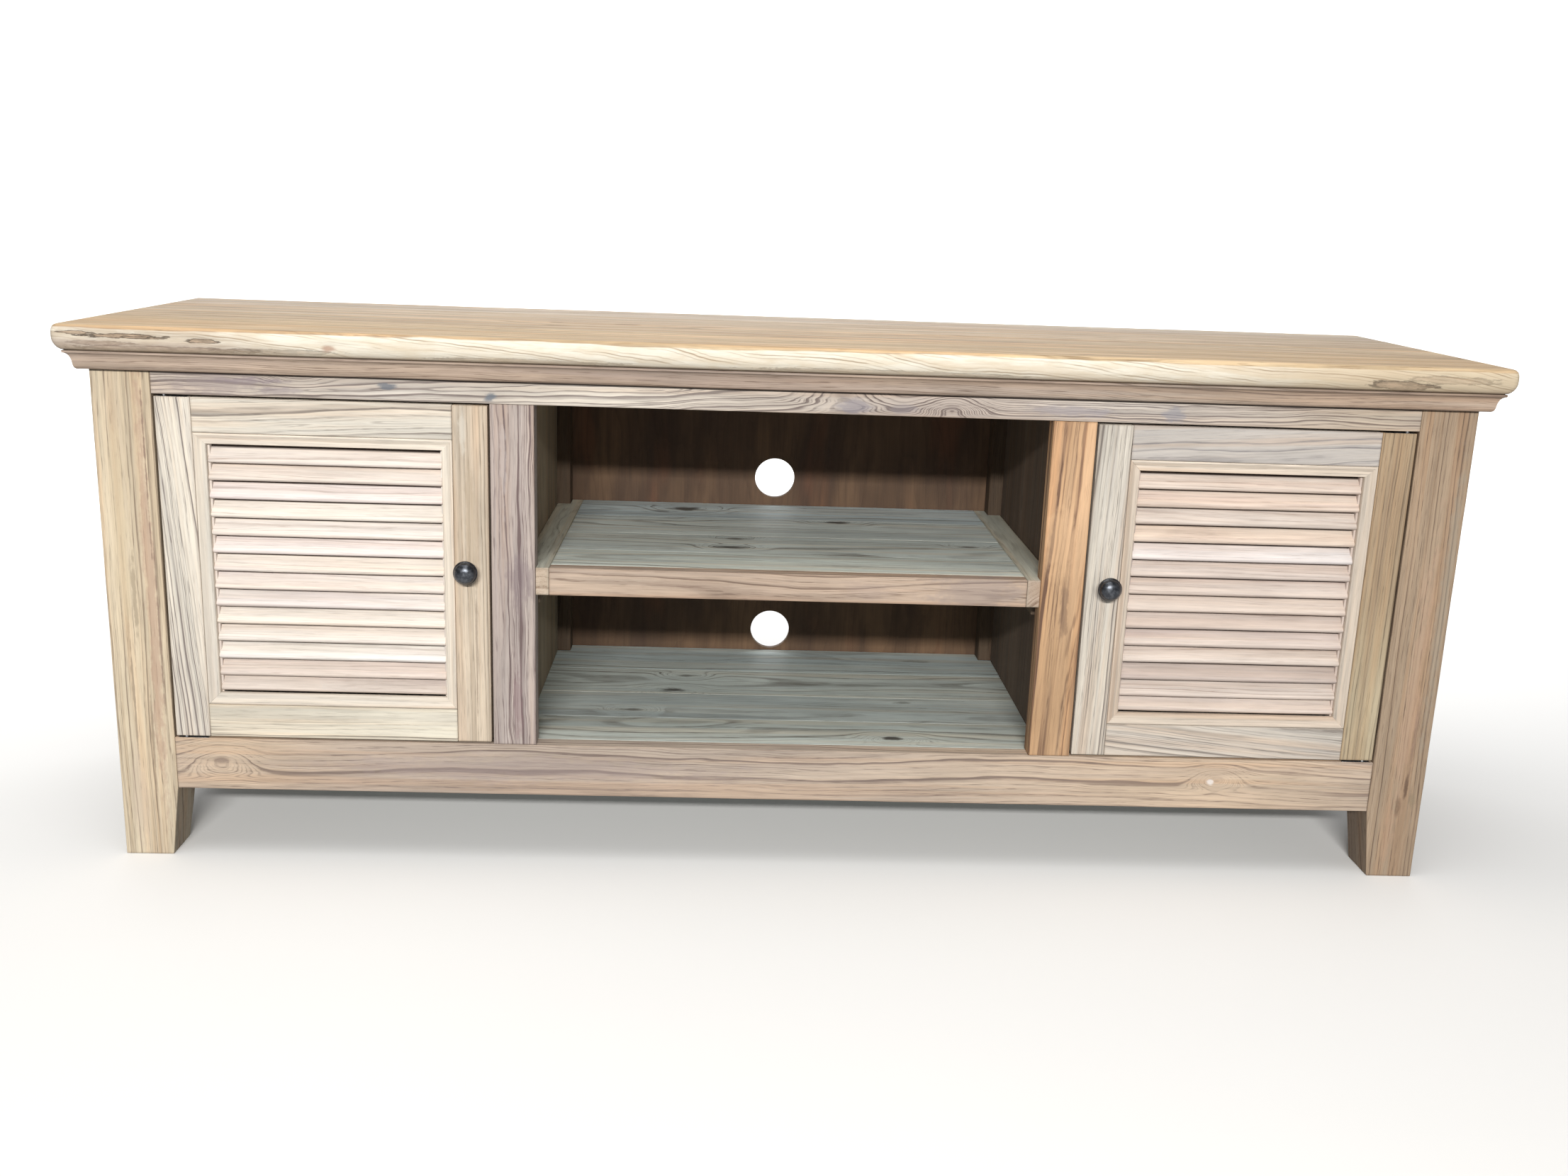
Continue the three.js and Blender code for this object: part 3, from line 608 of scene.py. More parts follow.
def nosed_plank(name, ya, yb, front, seed):
    """One plank of the top. Both ends are nosed, and the front too on the front plank."""
    # lines along x, close together at the worn left end and at both corners
    half = HX + 0.028
    xs = [-half + d for d in (0, 0.0015, 0.0035, 0.006, 0.009, 0.0125, 0.0165)]
    if front:
        x = -half + 0.020
        while x < -0.50:
            xs.append(x)
            x += 0.0035
        while x < half - 0.17:
            xs.append(x)
            x += 0.009
        while x < half - 0.019:
            xs.append(x)
            x += 0.0045
    else:
        xs += list(np.linspace(-half + 0.03, half - 0.03, 60))
    xs += [half - d for d in (0.0165, 0.0125, 0.009, 0.006, 0.0035, 0.0015, 0)]
    s = np.array(xs) / half
    ylen = yb - ya
    if front:
        t = np.array([0, 0.0015, 0.0035, 0.006, 0.009, 0.0125, 0.0165, 0.021] + list(np.linspace(0.028, ylen - 0.004, 9)) + [ylen - 0.0006, ylen]) / ylen
    else:
        t = np.array([0, 0.0006, 0.004] + list(np.linspace(0.014, ylen - 0.014, 7)) + [ylen - 0.004, ylen - 0.0006, ylen]) / ylen
    nx, ny, nj = len(s), len(t), len(PROFILE)
    rc = 0.0075
    verts, ids, faces = [], {}, []

    def chips(x, y, j, side):
        """Hand wear: how far a point of the nosing lies inside the full profile."""
        p = (x, y, 0.0)
        a = 0.00045 * (1 + fbm(p, 9.0, seed)) + 0.00035 * max(0.0, fbm(p, 38.0, seed + 3) + 0.15)
        z = PROFILE[j][1]
        top = 1.0 if z > 0.6150 else (0.6 if z > 0.6120 else 0.35)
        a *= top
        if front and side == "front":
            # long worn pits in the left end of the edge, and a chip near the right end
            for (cx, cz, rx, rz, dep) in ((-0.712, 0.6085, 0.042, 0.0042, 0.0019), (-0.772, 0.6110, 0.014, 0.0036, 0.0016),
                                          (-0.640, 0.6060, 0.016, 0.0036, 0.0017), (-0.742, 0.6000, 0.030, 0.0034, 0.0011),
                                          (-0.505, 0.6045, 0.012, 0.0042, 0.0015), (0.668, 0.5990, 0.030, 0.0062, 0.0017)):
                d = ((x - cx) / rx) ** 2 + ((z - cz) / rz) ** 2
                wob = 1 + 0.5 * fbm((x, z, 0), 160.0, seed)
                a += dep * math.exp(-d * wob)
        return a

    def pos(i, k, j):
        p, z = PROFILE[j]
        ex = HX + p
        x = s[i] * ex
        if front:
            y0 = FY - p
            y = y0 + t[k] * (yb - y0)
        else:
            y = ya + t[k] * (yb - ya)
        onend = i in (0, nx - 1)
        onfront = front and k == 0
        if front:
            cx, cy = ex - rc, FY - p + rc
            if abs(x) > cx and y < cy and (onend or onfront):
                dx, dy = abs(x) - cx, cy - y
                m = math.hypot(dx, dy)
                x = math.copysign(cx + rc * dx / m, x)
                y = cy - rc * dy / m
        w = chips(x, y, j, "front" if onfront else "end")
        if onend:
            x -= math.copysign(w, x)
        if onfront:
            y += w
        if j == nj - 1:
            z -= 0.00022 * (1 + fbm((x, y, 0), 7.0, seed + 9))
        # eased seams between planks
        if j == nj - 1 and k == ny - 1 and yb < 0.2:
            y -= 0.0004
        if j == nj - 1 and k == 0 and not front:
            y += 0.0004
        return (x, y, z)

    def vid(i, k, j, face="side"):
        edge = i in (0, nx - 1) or k in (0, ny - 1)
        if not edge:
            j = 0 if face == "bottom" else nj - 1
        key = (i, k, j)
        if key not in ids:
            ids[key] = len(verts)
            verts.append(pos(i, k, j))
        return ids[key]

    ring = [(i, 0) for i in range(nx)] + [(nx - 1, k) for k in range(1, ny)] + [(i, ny - 1) for i in range(nx - 2, -1, -1)] + [(0, k) for k in range(ny - 2, 0, -1)]
    for j in range(nj - 1):
        for a in range(len(ring)):
            b = (a + 1) % len(ring)
            (i0, k0), (i1, k1) = ring[a], ring[b]
            faces.append((vid(i0, k0, j), vid(i1, k1, j), vid(i1, k1, j + 1), vid(i0, k0, j + 1)))
    for i in range(nx - 1):
        for k in range(ny - 1):
            faces.append((vid(i, k, nj - 1, "top"), vid(i + 1, k, nj - 1, "top"), vid(i + 1, k + 1, nj - 1, "top"), vid(i, k + 1, nj - 1, "top")))
            faces.append((vid(i, k, 0, "bottom"), vid(i, k + 1, 0, "bottom"), vid(i + 1, k + 1, 0, "bottom"), vid(i + 1, k, 0, "bottom")))
    ob = tidy(mesh_object(name, verts, faces))
    return smooth(ob, 48)


def top_material(name, seed, front, pith):
    """The top is warm tan above; the worked nosing shows paler sapwood."""
    spots = [(-0.765, -0.059, 0.007, 0.003, (0.22, 0.14, 0.09), 0.8), (-0.62, -0.075, 0.10, 0.0022, (0.30, 0.22, 0.15), 0.5),
             (0.32, -0.196, 0.012, 0.004, (0.20, 0.13, 0.09), 0.7), (0.52, -0.172, 0.030, 0.004, (0.27, 0.19, 0.13), 0.5)] if front else []
    mat = wood(name, TOPC[0], TOPC[1], TOPC[2], TOPC[3], 0.30, seed=seed, ring=0.0050, pith=pith, warp=0.05,
               line_amt=0.85, pore=0.70, bump=0.35, rough=0.66, edge_dark=0.0, spots=spots, mottle=0.32, hue=1.25,
               streak=0.60, streak_col=(0.38, 0.30, 0.22))
    if not front:
        return mat
    T = Tree.__new__(Tree)
    T.t = mat.node_tree
    bsdf = next(n for n in T.t.nodes if n.type == "BSDF_PRINCIPLED")
    base = bsdf.inputs["Base Color"].links[0].from_socket
    P = T.attr("gr")
    x, v, z = T.split(P)           # x along, v = y, w = z in the row frame
    n1 = T.noise(P, (7.0, 0.0, 60.0), 3.0, 0.6, add=(2.2, 0, 1.0))
    n2 = T.noise(P, (28.0, 10.0, 160.0), 4.0, 0.65, add=(5.2, 0, 3.0))
    n4 = T.noise(P, (75.0, 10.0, 330.0), 4.0, 0.65, add=(1.2, 0, 8.0))
    n3 = T.noise(P, (3.2, 0.0, 30.0), 2.0, 0.5, add=(9.2, 0, 4.0))
    # the sapwood band starts a little below the upper arris and wavers along it
    edge = T.math("MULTIPLY_ADD", T.math("SUBTRACT", n1, 0.5), 0.0085, 0.6165)
    edge = T.math("MULTIPLY_ADD", T.math("SUBTRACT", n3, 0.5), 0.0085, edge)
    d = T.math("SUBTRACT", edge, z)
    # only on the front edge
    infront = T.math("LESS_THAN", v, FY - 0.0205)
    m = T.math("MULTIPLY", T.smooth(d, -0.0004, 0.0012), infront)
    sap = T.mix(T.smooth(n2, 0.35, 0.7), NOSE[0], NOSE[1])
    # ends of the edge are browner
    far = T.math("ABSOLUTE", x)
    endl = T.math("MULTIPLY", T.smooth(x, -0.54, -0.66), T.smooth(T.math("MULTIPLY_ADD", n2, 0.6, T.math("MULTIPLY", n4, 0.4)), 0.30, 0.50))
    endr = T.smooth(x, 0.42, 0.66)
    sap = T.mix(T.math("MULTIPLY", endl, 0.60), sap, T.mix(n4, mul(NOSE[2], (0.72, 0.66, 0.62)), mul(NOSE[2], 1.15)))
    sap = T.mix(T.math("MULTIPLY", endr, 0.80), sap, NOSE[3])
    # thin dark grain lines that fall slowly to the right
    wob = T.noise(P, (4.5, 0.0, 9.0), 2.0, 0.5, add=(3.0, 0, 2.0))
    wob2 = T.noise(P, (40.0, 0.0, 60.0), 2.0, 0.5, add=(6.0, 0, 2.0))
    sl = T.math("MULTIPLY_ADD", x, 0.105, z)
    sl = T.math("MULTIPLY_ADD", wob, 0.040, sl)
    sl = T.math("MULTIPLY_ADD", wob2, 0.0035, sl)
    th = None
    for (mul_, off_, w_, k_) in ((72.0, 0.0, 0.075, 0.85), (145.0, 0.37, 0.110, 0.45)):
        ph = T.math("FRACT", T.math("MULTIPLY_ADD", sl, mul_, off_))
        g = T.math("SUBTRACT", 1.0, T.smooth(T.math("ABSOLUTE", T.math("SUBTRACT", ph, 0.5)), 0.012, w_))
        g = T.math("MULTIPLY", g, k_)
        th = g if th is None else T.math("MAXIMUM", th, g)
    th = T.math("MULTIPLY", th, T.smooth(T.noise(P, (6.0, 0.0, 80.0), 3.0, 0.6, add=(8.0, 0, 5.0)), 0.38, 0.58))
    # cream and tan follow the same lines
    tn = T.noise(T.join(0.0, T.math("MULTIPLY", sl, 46.0), T.math("MULTIPLY", x, 0.8)), (1, 1, 1), 3.0, 0.6)
    sap = T.mix(T.math("MULTIPLY", T.smooth(tn, 0.50, 0.64), 0.50), sap, mul(NOSE[1], (0.88, 0.80, 0.72)))
    sap = T.mix(T.math("MULTIPLY", th, 0.85), sap, mul(NOSE[1], (0.40, 0.31, 0.24)))
    # bark pits and a brown chip
    pit = rim = None
    for (cx, cz, rx, rz, k) in ((-0.722, 0.6092, 0.040, 0.0022, 0.9), (-0.772, 0.6115, 0.017, 0.0018, 0.8), (-0.700, 0.6078, 0.022, 0.0014, 0.8),
                                (-0.640, 0.6062, 0.016, 0.0022, 0.85), (-0.742, 0.6010, 0.034, 0.0024, 0.5),
                                (0.668, 0.5985, 0.034, 0.0050, 0.7),
                                (-0.680, 0.5965, 0.090, 0.0030, 0.60), (-0.560, 0.5975, 0.060, 0.0024, 0.45), (-0.300, 0.5955, 0.09, 0.0022, 0.40),
                                (0.10, 0.5958, 0.13, 0.0022, 0.35), (0.72, 0.6065, 0.05, 0.0040, 0.35)):
        du = T.math("DIVIDE", T.math("SUBTRACT", x, cx), rx)
        dv = T.math("DIVIDE", T.math("SUBTRACT", z, cz), rz)
        q = T.math("SQRT", T.math("ADD", T.math("MULTIPLY", du, du), T.math("MULTIPLY", dv, dv)))
        q = T.math("ADD", q, T.math("MULTIPLY", T.math("SUBTRACT", n2, 0.5), 1.3))
        q = T.math("ADD", q, T.math("MULTIPLY", T.math("SUBTRACT", n4, 0.5), 1.5))
        g = T.math("MULTIPLY", T.smooth(q, 1.05, 0.80), k)
        pit = g if pit is None else T.math("MAXIMUM", pit, g)
        g = T.math("MULTIPLY", T.math("SUBTRACT", 1.0, T.smooth(T.math("ABSOLUTE", T.math("SUBTRACT", q, 0.98)), 0.05, 0.22)), k)
        rim = g if rim is None else T.math("MAXIMUM", rim, g)
    sap = T.mix(pit, sap, T.mix(T.smooth(n4, 0.35, 0.65), mul(BARK, 1.15), mul(BARK, 2.5)))
    sap = T.mix(rim, sap, mul(BARK, 0.42))
    cu = T.math("DIVIDE", T.math("SUBTRACT", x, -0.505), 0.0085)
    cv = T.math("DIVIDE", T.math("SUBTRACT", z, 0.6025), 0.0042)
    cq = T.math("SQRT", T.math("ADD", T.math("MULTIPLY", cu, cu), T.math("MULTIPLY", cv, cv)))
    cq = T.math("MULTIPLY_ADD", T.math("SUBTRACT", n4, 0.5), 1.4, cq)
    sap = T.mix(T.math("MULTIPLY", T.smooth(cq, 1.25, 0.35), 0.75), sap, (0.40, 0.235, 0.165))
    lf = T.math("MULTIPLY", T.smooth(T.math("MULTIPLY_ADD", T.math("SUBTRACT", n2, 0.5), 0.008, z), 0.6070, 0.6010), T.smooth(x, -0.52, -0.68))
    sap = T.mix(T.math("MULTIPLY", lf, 0.42), sap, T.mix(T.smooth(n4, 0.35, 0.65), (0.36, 0.26, 0.215), (0.50, 0.40, 0.34)))
    # painted shade: the nosing darkens towards its underside, and a painted shadow line runs along its lower edge above
    # the cornice
    low = T.math("MULTIPLY", T.smooth(z, 0.5985, 0.5935), 0.5)
    sap = T.mix(low, sap, mul(NOSE[1], (0.62, 0.55, 0.48)))
    sap = T.mix(T.math("MULTIPLY", T.smooth(z, 0.5942, 0.5924), 0.8), sap, (0.13, 0.085, 0.06))
    fibre = T.noise(P, (30.0, 300.0, 700.0), 3.0, 0.6)
    fb = T.math("MULTIPLY_ADD", T.math("SUBTRACT", fibre, 0.5), 0.22, 1.0)
    sap = T.mix(1.0, sap, T.join(fb, fb, fb), "MULTIPLY")
    # a thin brown line where the two meet
    ln = T.math("MULTIPLY", T.math("SUBTRACT", 1.0, T.smooth(T.math("ABSOLUTE", d), 0.0002, 0.0009)), T.math("MULTIPLY", infront, T.smooth(n2, 0.40, 0.60)))
    base = T.mix(T.math("MULTIPLY", ln, 0.6), base, (0.30, 0.20, 0.13))
    out = T.mix(m, base, sap)
    T.put(bsdf.inputs["Base Color"], out)
    return mat


TOPC = ((0.62, 0.475, 0.32), (0.53, 0.385, 0.25), (0.30, 0.205, 0.125), (0.50, 0.40, 0.30))
NOSE = ((0.80, 0.75, 0.64), (0.72, 0.635, 0.50), (0.50, 0.42, 0.33), (0.56, 0.455, 0.31))

piths = [(0.30, -0.22), (0.03, -0.07), (-0.09, -0.05), (0.25, -0.16)]
for i in range(4):
    ya, yb = TOP_EDGES[i], TOP_EDGES[i + 1]
    front = i == 0
    ob = nosed_plank("top_plank_%d" % (i + 1), ya + (0 if front else 0.0001), yb - (0.0001 if i < 3 else 0), front, 3.0 + i)
    grain(ob, (0, 0, 0), "x", "y", "z")
    mat = top_material("elm_top_%d" % (i + 1), 11 + i, front, (piths[i][0] + (ya + yb) / 2, 0.62 + piths[i][1]))
    finish_piece(ob, mat, "cabinet", "top")
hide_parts("top_board")

# ------------------------------------------------------------------ cornice
CORNICE = [  # stands out from the body, height
    (0.0003, ZC0), (0.0080, ZC0), (0.0094, ZC0 + 0.0004), (0.0106, ZC0 + 0.0014), (0.0114, ZC0 + 0.0030), (0.0119, ZC0 + 0.0050),
    (0.0122, ZC0 + 0.0075), (0.0126, ZC0 + 0.0100), (0.0133, ZC0 + 0.0125), (0.0143, ZC0 + 0.0148), (0.0158, ZC0 + 0.0167),
    (0.0176, ZC0 + 0.0179), (0.0193, ZC0 + 0.0184), (0.0194, ZC0 + 0.0188), (0.0194, ZC1), (0.0003, ZC1),
]


def moulding(name, profile, s0, s1, place, n, seed, amp=0.0003):
    rings = []
    for a in range(n + 1):
        f = a / n
        ring = []
        for p, z in profile:
            s = s0(p) * (1 - f) + s1(p) * f
            q = p
            if p > 0.002:
                q = p - amp * (0.7 + 0.7 * fbm((s, z, 0), 14.0, seed)) * (1.0 if p > 0.009 else 0.4)
            zz = z
            if z < ZC0 + 0.004 and p > 0.002:
                zz = z + 0.00035 * (0.6 + fbm((s, 0, 0), 11.0, seed + 2))
            ring.append(place(q, s, min(zz, ZC1)))
        rings.append(ring)
    return loft(name, rings, smooth_angle=42)


M = 0.00025
corn = []
for tag, s0, s1, place, n, sd in (
    ("front", lambda p: -(HX + p) + M, lambda p: HX + p - M, lambda p, s, z: (s, FY - p, z), 150, 1.0),
    ("right", lambda p: FY - p + M, lambda p: 0.222, lambda p, s, z: (HX + p, s, z), 44, 2.0),
    ("left", lambda p: FY - p + M, lambda p: 0.222, lambda p, s, z: (-(HX + p), s, z), 44, 3.0),
):
    ob = moulding("cornice_" + tag + "_strip", CORNICE, s0, s1, place, n, sd)
    if tag == "front":
        grain(ob, (0, FY, 0.58), "x", "z", "y")
    else:
        grain(ob, (0, 0, 0.58), "y", "z", "x")
    # painted shadow lines along the cornice's top, under the nosing, and along its foot
    mat = wood("elm_cornice_" + tag, (0.52, 0.410, 0.325), (0.43, 0.33, 0.26), (0.24, 0.17, 0.13), (0.40, 0.32, 0.29), 0.45,
               seed=31 + int(sd), ring=0.0052, pith=(0.03, -0.03), warp=0.05, line_amt=0.85, pore=0.60, edge_dark=0.0, mottle=0.34, streak=0.35,
               shadow_bands=[("v", 0.0101, 0.0117, 0.75), ("v", -0.0083, -0.0096, 0.6)],
               zones=[(0.40, 0.32, (0.88, 0.93, 0.97))] if tag == "front" else ())
    finish_piece(ob, mat, "cabinet", "cornice", "cornice_" + tag)


# ------------------------------------------------------------------ legs
def leg(node, sx, sy, mat, seed):
    lo, hi = nbox(node)
    ob = rbox("wood_" + node, lo, hi, r=0.0022, seg=0.03, wear=0.7, seed=seed, extra=((), (), (0.084, 0.079, 0.089)))
    co = coords(ob)
    xo = hi[0] if sx > 0 else lo[0]
    yo = lo[1] if sy < 0 else hi[1]
    w = np.where(co[:, 2] < 0.084, 0.055 + 0.010 * co[:, 2] / 0.084, 0.065) / 0.065
    co[:, 0] = xo + (co[:, 0] - xo) * w
    co[:, 1] = yo + (co[:, 1] - yo) * w
    ob.data.vertices.foreach_set("co", co.ravel())
    tidy(ob)
    smooth(ob, 50)
    c = [(a + b) / 2 for a, b in zip(lo, hi)]
    grain(ob, c, "z", "x", "y", (1, sx, 1), lo=lo, hi=hi, edge_r=0.0022, edge_w=0.004)
    # painted shade: the feet's inner faces are darkened for the shade they stand in
    co = coords(ob)
    width = np.minimum(0.065, 0.055 + 0.010 * co[:, 2] / 0.084)
    inner_face = np.abs(np.abs(co[:, 0] - xo) - width) < 0.0003
    at = ob.data.attributes.new("shade_mask", "FLOAT", "POINT")
    at.data.foreach_set("value", (inner_face * 0.34).astype(np.float32))
    return finish_piece(ob, mat, "cabinet", "leg", node)


LEG_SPOTS = {
    "leg_front_left": [(0.02, -0.0180, 0.27, 0.0075, (0.46, 0.31, 0.23), 0.62), (0.17, -0.0215, 0.10, 0.0013, (0.22, 0.15, 0.12), 0.75),
                       (-0.02, -0.0240, 0.11, 0.0012, (0.22, 0.15, 0.12), 0.6), (0.02, 0.0010, 0.055, 0.0030, (0.30, 0.24, 0.17), 0.6),
                       (-0.09, 0.0100, 0.10, 0.0012, (0.25, 0.19, 0.14), 0.65), (-0.16, -0.0080, 0.07, 0.0014, (0.25, 0.19, 0.14), 0.55),
                       (0.10, 0.0120, 0.12, 0.0080, (0.66, 0.55, 0.38), 0.5), (-0.22, 0.0120, 0.06, 0.0100, (0.56, 0.45, 0.36), 0.4)],
    "leg_front_right": [(-0.180, 0.0110, 0.020, 0.0030, (0.13, 0.080, 0.055), 0.85), (-0.205, 0.0040, 0.013, 0.0040, (0.17, 0.11, 0.07), 0.75),
                        (-0.196, 0.0210, 0.010, 0.0050, (0.27, 0.21, 0.14), 0.6), (-0.12, 0.0130, 0.050, 0.0022, (0.24, 0.16, 0.12), 0.6),
                        (-0.05, 0.0030, 0.16, 0.0100, (0.50, 0.33, 0.23), 0.4), (0.05, 0.0230, 0.20, 0.0060, (0.34, 0.30, 0.24), 0.45),
                        (-0.24, -0.0040, 0.05, 0.0060, (0.46, 0.29, 0.19), 0.4), (0.16, -0.0100, 0.10, 0.0016, (0.24, 0.18, 0.13), 0.5)],
}
LEGC = dict(light=(0.60, 0.485, 0.345), mid=(0.52, 0.405, 0.28), line=(0.25, 0.18, 0.125), stain=(0.47, 0.37, 0.28))
for node, sx, sy, sd, pith, col in (
    ("leg_front_left", -1, -1, 41, (0.055, -0.055), (1.03, 1.03, 1.05)),
    ("leg_front_right", 1, -1, 42, (-0.06, -0.03), (0.84, 0.80, 0.80)),
    ("leg_rear_left", -1, 1, 43, (0.03, 0.06), (1, 1, 1)),
    ("leg_rear_right", 1, 1, 44, (0.05, 0.05), (0.95, 0.93, 0.92)),
):
    c = {k: mul(v, col) for k, v in LEGC.items()}
    # front legs: a painted shadow band across their tops, under the cornice
    mat = wood("elm_" + node, c["light"], c["mid"], c["line"], c["stain"], 0.45, seed=sd, ring=0.0058, pith=pith, warp=0.03,
               line_amt=0.62, pore=0.55, streak=0.35, streak_col=mul(c["mid"], (0.78, 0.66, 0.54)),
               shadow_bands=[("u", 0.2722, 0.2748, 0.85)] if "front" in node else (),
               spots=LEG_SPOTS.get(node, ()), edge_dark=0.18)
    leg(node, sx, sy, mat, sd * 0.37)


# ------------------------------------------------------------------ hinge pockets
PX, PY = 0.6945, -0.192
LX0, LX1, LY0, LY1 = 0.669, 0.703, -0.1955, -0.1845
G = 0.0003


def pocket(sx, z0, z1):
    a, b = sorted((sx * (LX0 - G), sx * (LX1 + G)))
    return tool_box((a, LY0 - G, z0), (b, LY1 + G, z1))


# ------------------------------------------------------------------ front frame
# painted shadow: a dark line along the rail's top edge, under the cornice
top_rail_mat = wood(
    "elm_front_top_rail", (0.60, 0.53, 0.45), (0.52, 0.44, 0.365), (0.22, 0.175, 0.15), (0.37, 0.32, 0.31), 0.50, seed=51, ring=0.0052,
    pith=(-0.004, -0.016), warp=0.060, fine_warp=0.010, line_amt=1.0, pore=0.35, bold=1.45, mottle=0.26,
    knots=[(-0.545, 0.014, 0.007, 0.35), (0.052, 0.0, 0.008, 0.35), (0.175, -0.014, 0.006, 0.25)],
    spots=[(-0.452, -0.008, 0.0105, 0.0045, INK, 0.85), (-0.338, -0.016, 0.008, 0.0065, INK, 0.9),
           (-0.640, -0.010, 0.060, 0.014, (0.34, 0.28, 0.27), 0.55), (-0.600, -0.006, 0.040, 0.0035, (0.25, 0.20, 0.23), 0.5), (-0.575, -0.016, 0.030, 0.0040, (0.27, 0.22, 0.24), 0.45),
           (0.062, -0.013, 0.020, 0.010, (0.22, 0.21, 0.26), 0.55), (0.118, -0.016, 0.020, 0.005, (0.30, 0.28, 0.30), 0.4),
           (0.300, -0.012, 0.055, 0.006, (0.30, 0.27, 0.30), 0.45), (0.425, -0.013, 0.012, 0.010, (0.22, 0.22, 0.26), 0.5)],
    bump=0.5, shadow_bands=[("v", -0.0012, 0.0014, 0.85)], slope=0.02, zones=[(0.14, 0.10, (0.90, 0.87, 0.88)), (0.37, 0.10, (1.09, 1.13, 1.17)), (-0.22, 0.13, (1.38, 1.46, 1.48)), (-0.45, 0.10, (1.10, 1.14, 1.17)), (0.66, 0.10, (1.04, 1.0, 0.92))])
board("front_top_rail", top_rail_mat, "rail", r=0.0010, seed=5.1, seg=0.03,
      tools=[pocket(-1, 0.540, 0.5473), pocket(1, 0.540, 0.5473)])

apron_mat = wood(
    "elm_front_bottom_rail", (0.56, 0.455, 0.36), (0.49, 0.39, 0.315), (0.24, 0.18, 0.15), (0.38, 0.31, 0.285), 0.60, seed=52, ring=0.0062,
    pith=(0.060, -0.042), warp=0.040, fine_warp=0.007, line_amt=0.80, pore=0.45, mottle=0.20,
    knots=[(-0.655, 0.004, 0.0065, 0.5), (0.520, 0.006, 0.005, 0.12)],
    spots=[(-0.30, 0.0, 0.24, 0.016, (0.36, 0.29, 0.28), 0.35), (0.512, 0.002, 0.0042, 0.0042, (0.62, 0.60, 0.62), 0.9)],
    zones=[(-0.64, 0.09, (1.22, 1.19, 1.10)), (0.48, 0.26, (1.27, 1.21, 1.10))])
board("front_bottom_rail", apron_mat, "apron", r=0.0014, seed=5.7, seg=0.03,
      tools=[pocket(-1, 0.1442, 0.150), pocket(1, 0.1442, 0.150)])

ls_mat = wood("elm_centre_stile_left", (0.515, 0.450, 0.410), (0.415, 0.350, 0.320), (0.165, 0.120, 0.115), (0.31, 0.255, 0.255), 0.55, seed=53,
              ring=0.0048, pith=(-0.040, -0.030), warp=0.026, fine_warp=0.010, line_amt=1.0, pore=0.5, bold=1.35, mottle=0.20,
              spots=[(0.0, 0.006, 0.030, 0.014, (0.22, 0.17, 0.18), 0.5), (-0.15, 0.004, 0.05, 0.006, (0.25, 0.16, 0.17), 0.45), (0.13, -0.010, 0.06, 0.004, (0.52, 0.46, 0.44), 0.5)])
board("centre_stile_left", ls_mat, "stile_left", u="z", v="x", w="y", r=0.0012, seed=6.1)
rs_mat = wood("elm_centre_stile_right", (0.62, 0.41, 0.245), (0.52, 0.32, 0.175), (0.15, 0.085, 0.055), (0.42, 0.26, 0.15), 0.4, seed=54,
              ring=0.0068, pith=(0.012, -0.050), warp=0.022, fine_warp=0.003, line_amt=1.0, pore=0.4, bold=0.95,
              streak=0.8, streak_col=(0.20, 0.11, 0.07), slope=0.035,
              spots=[(0.06, -0.005, 0.05, 0.020, (0.70, 0.46, 0.27), 0.35), (-0.02, 0.004, 0.03, 0.006, (0.13, 0.08, 0.06), 0.45)],
              zones=[(0.12, 0.10, (1.14, 1.14, 1.16)), (-0.14, 0.11, (0.84, 0.84, 0.84))])
board("centre_stile_right", rs_mat, "stile_right", u="z", v="x", w="y", r=0.0012, seed=6.4)

# ------------------------------------------------------------------ sides
for tag, sx in (("left", -1), ("right", 1)):
    k = (1.0, 1.0, 1.0) if sx < 0 else (0.95, 0.93, 0.92)
    m1 = wood("elm_side_top_" + tag, mul((0.58, 0.49, 0.39), k), seed=61 + sx, ring=0.0052, pith=(0.02, -0.04), line_amt=0.7)
    m2 = wood("elm_side_bottom_" + tag, mul((0.55, 0.45, 0.35), k), seed=64 + sx, ring=0.0055, pith=(-0.02, -0.05), line_amt=0.7)
    board("side_top_rail_" + tag, m1, "side", u="y", v="z", w="x", seed=7.0 + sx, flip=(1, 1, sx))
    board("side_bottom_rail_" + tag, m2, "side", u="y", v="z", w="x", seed=7.6 + sx, flip=(1, 1, sx))
    # the panel is three boards side by side, each with its own grain
    lo, hi = nbox("side_panel_" + tag)
    n = 3
    wd = (hi[1] - lo[1]) / n
    for i in range(n):
        a, b = list(lo), list(hi)
        a[1], b[1] = lo[1] + wd * i + (0.0002 if i else 0), lo[1] + wd * (i + 1) - (0.0002 if i < n - 1 else 0)
        ob = rbox("side_panel_%s_board_%d" % (tag, i + 1), a, b, r=0.0011, seg=0.03, wear=0.6, seed=8 + i + sx)
        tidy(ob)
        smooth(ob, 50)
        c = [(p + q) / 2 for p, q in zip(a, b)]
        grain(ob, c, "z", "y", "x", (1, 1, sx), lo=a, hi=b, edge_r=0.0011)
        m = wood("elm_side_panel_%s_%d" % (tag, i + 1), mul(((0.60, 0.51, 0.40), (0.55, 0.465, 0.37), (0.62, 0.52, 0.40))[i], k),
                 seed=70 + i + 5 * sx, ring=0.0055, pith=((0.01, -0.04), (0.05, -0.06), (-0.02, -0.035))[i], warp=0.04, line_amt=0.7, stain_amt=0.4)
        finish_piece(ob, m, "cabinet", "side", *(["side_panel_" + tag] if i == 0 else []))

# ------------------------------------------------------------------ bay floor and shelf: separate planks
WASH = ((0.60, 0.64, 0.60), (0.50, 0.55, 0.53), (0.19, 0.175, 0.15), (0.40, 0.45, 0.45))


